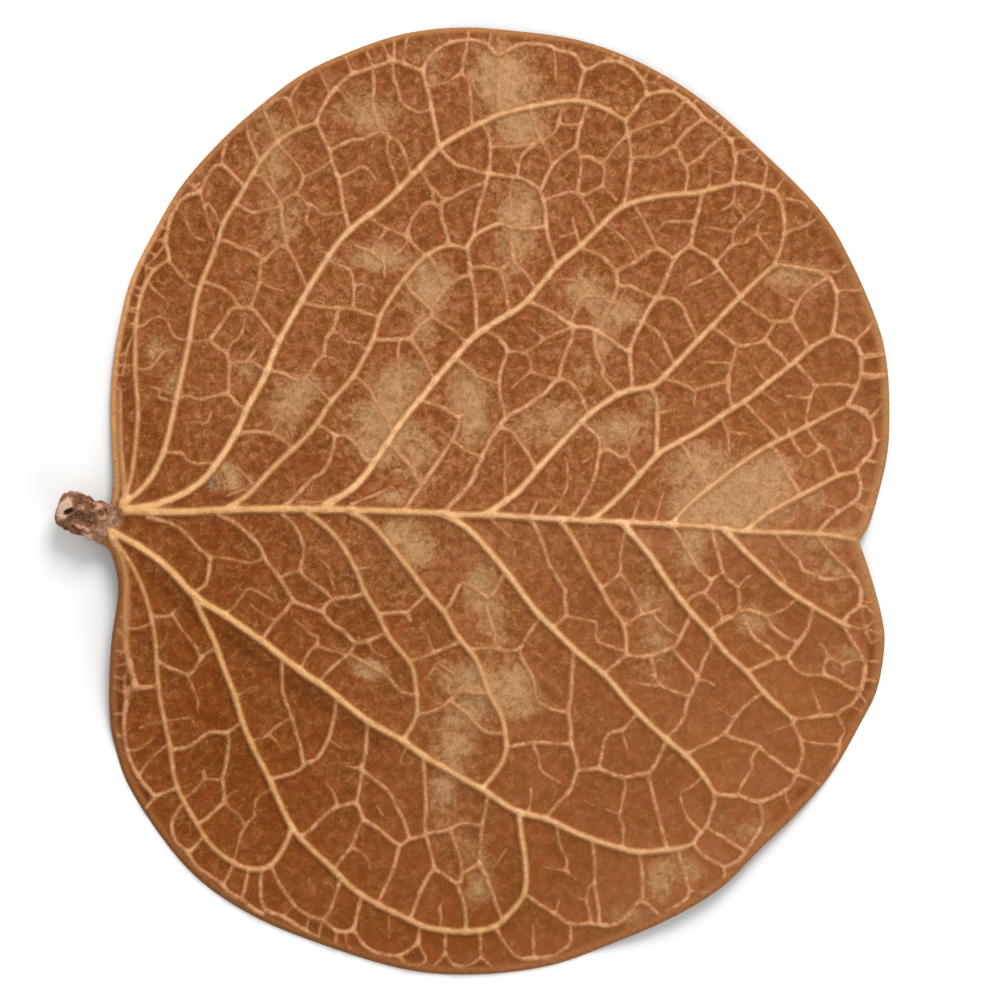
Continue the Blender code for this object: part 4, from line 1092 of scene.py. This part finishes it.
CORK_DARK = colour(62, 32, 14)
CORK_OLIVE = colour(112, 74, 38)
CORK_BROWN = colour(138, 90, 62)
CORK_PINK = colour(206, 160, 136)
BREAK_PALE = colour(226, 192, 166)
FUZZ_STATIONS = (9.8, 11.4)
FUZZ_SHIFT = 1.2
FUZZ_SLANT = 0.7

cork = Finish("corky stalk")
bark = cork.noise(0.5, detail=4, roughness=0.65, warp=0.8)
flakes = cork.noise(0.3, detail=4, roughness=0.6, warp=0.3)
height = cork.field("hill") + bark * 2 + flakes * 1.6 - 1.8
fuzzy = cork.field("station") - (cork.along("Y") + FUZZ_SHIFT) * FUZZ_SLANT + flakes * 1.6 - 0.8
fuzz_colour = (bark * 0.6 + flakes * 0.4).ease(0.36, 0.62).between(FUZZ_DARK, FUZZ_PALE)
face = cork.field("face") + bark * 0.9 + flakes * 0.6 - 0.75
pale = (bark * 0.5 + flakes * 0.5).ease(0.4, 0.58).between(CORK_PINK, BREAK_PALE)
# Coloured by the height of the wrinkles and by mottling: the dark folds are partly painted shade, the pink
# crests partly painted highlight.
cork_colour = flakes.ease(0.36, 0.62).between(CORK_DARK, CORK_OLIVE).under(
    (CORK_BROWN, height.ease(-0.9, -0.1)),
    (CORK_PINK, height.ease(-0.2, 0.6)),
    (fuzz_colour, fuzzy.ease(*FUZZ_STATIONS) * 0.8),
    (CORK_BROWN, face.ease(1.2, 0.7)),
    (pale, face.ease(0.95, 0.6)),
    (CORK_DARK, (cork.field("pit") + flakes * 1.4 - 0.7).ease(0.25, 0.5)),
)
cork.shade(
    Base_Color=cork_colour,
    Roughness=0.75 - bark * 0.15,
    Specular_IOR_Level=0.3,
    Normal=cork.bump(bark * 0.15 + flakes * 0.1),
)
stump.data.materials.append(cork.material)
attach(stump, "root")
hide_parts("leaf")

# The floor is plain matt card, so pale that the leaf seems cut out on white. It is one large square at the
# height where the leaf lies.
FLOOR_HALF = 900
corners = [(x * FLOOR_HALF, y * FLOOR_HALF, 0) for x, y in ((-1, -1), (1, -1), (1, 1), (-1, 1))]
floor = as_object("floor", corners, [(0, 1, 2, 3)])
card = Finish("pale card")
card.shade(
    Base_Color=card.noise(60.0).between(colour(246, 245, 243), colour(250, 250, 249)),
    Roughness=0.9,
    Specular_IOR_Level=0.1,
)
floor.data.materials.append(card.material)

# Soft light from above the far margin, a weak one from the other side, an even sky round both, and a camera
# straight above the leaf with a long lens, all in metres. One pixel of its picture is one step of the sheet.
# A light is its name, its place, its size and its power.
LIGHTS = (("key light", (0.17, 0.6, 0.6), 0.4, 5.4), ("fill light", (0.5, -0.55, 0.4), 0.4, 1.3))
SKY_STRENGTH = 0.6
CAMERA_HEIGHT = 1.5
LEAF_HEIGHT = 0.002
FRAME_WIDTH = 0.1
FRAME_MIDDLE = (500, 500)

for name, place, size, power in LIGHTS:
    light_data = bpy.data.lights.new(name, "AREA")
    light_data.size = size
    light_data.energy = power
    light = bpy.data.objects.new(name, light_data)
    light.location = place
    light.rotation_euler = Vector(place).to_track_quat("Z", "Y").to_euler()
    bpy.context.scene.collection.objects.link(light)

sky = bpy.data.worlds.new("even sky")
sky.use_nodes = True
background = sky.node_tree.nodes["Background"]
background.inputs["Strength"].default_value = SKY_STRENGTH
background.inputs["Color"].default_value = (1, 1, 1, 1)
bpy.context.scene.world = sky

camera_data = bpy.data.cameras.new("camera")
camera_data.lens = camera_data.sensor_width * (CAMERA_HEIGHT - LEAF_HEIGHT) / FRAME_WIDTH
camera_data.clip_start = 0.01
camera = bpy.data.objects.new("camera", camera_data)
camera.location = (*on_leaf(FRAME_MIDDLE) / 1000, CAMERA_HEIGHT)
bpy.context.scene.collection.objects.link(camera)
bpy.context.scene.camera = camera
bpy.context.scene.view_settings.view_transform = "Standard"
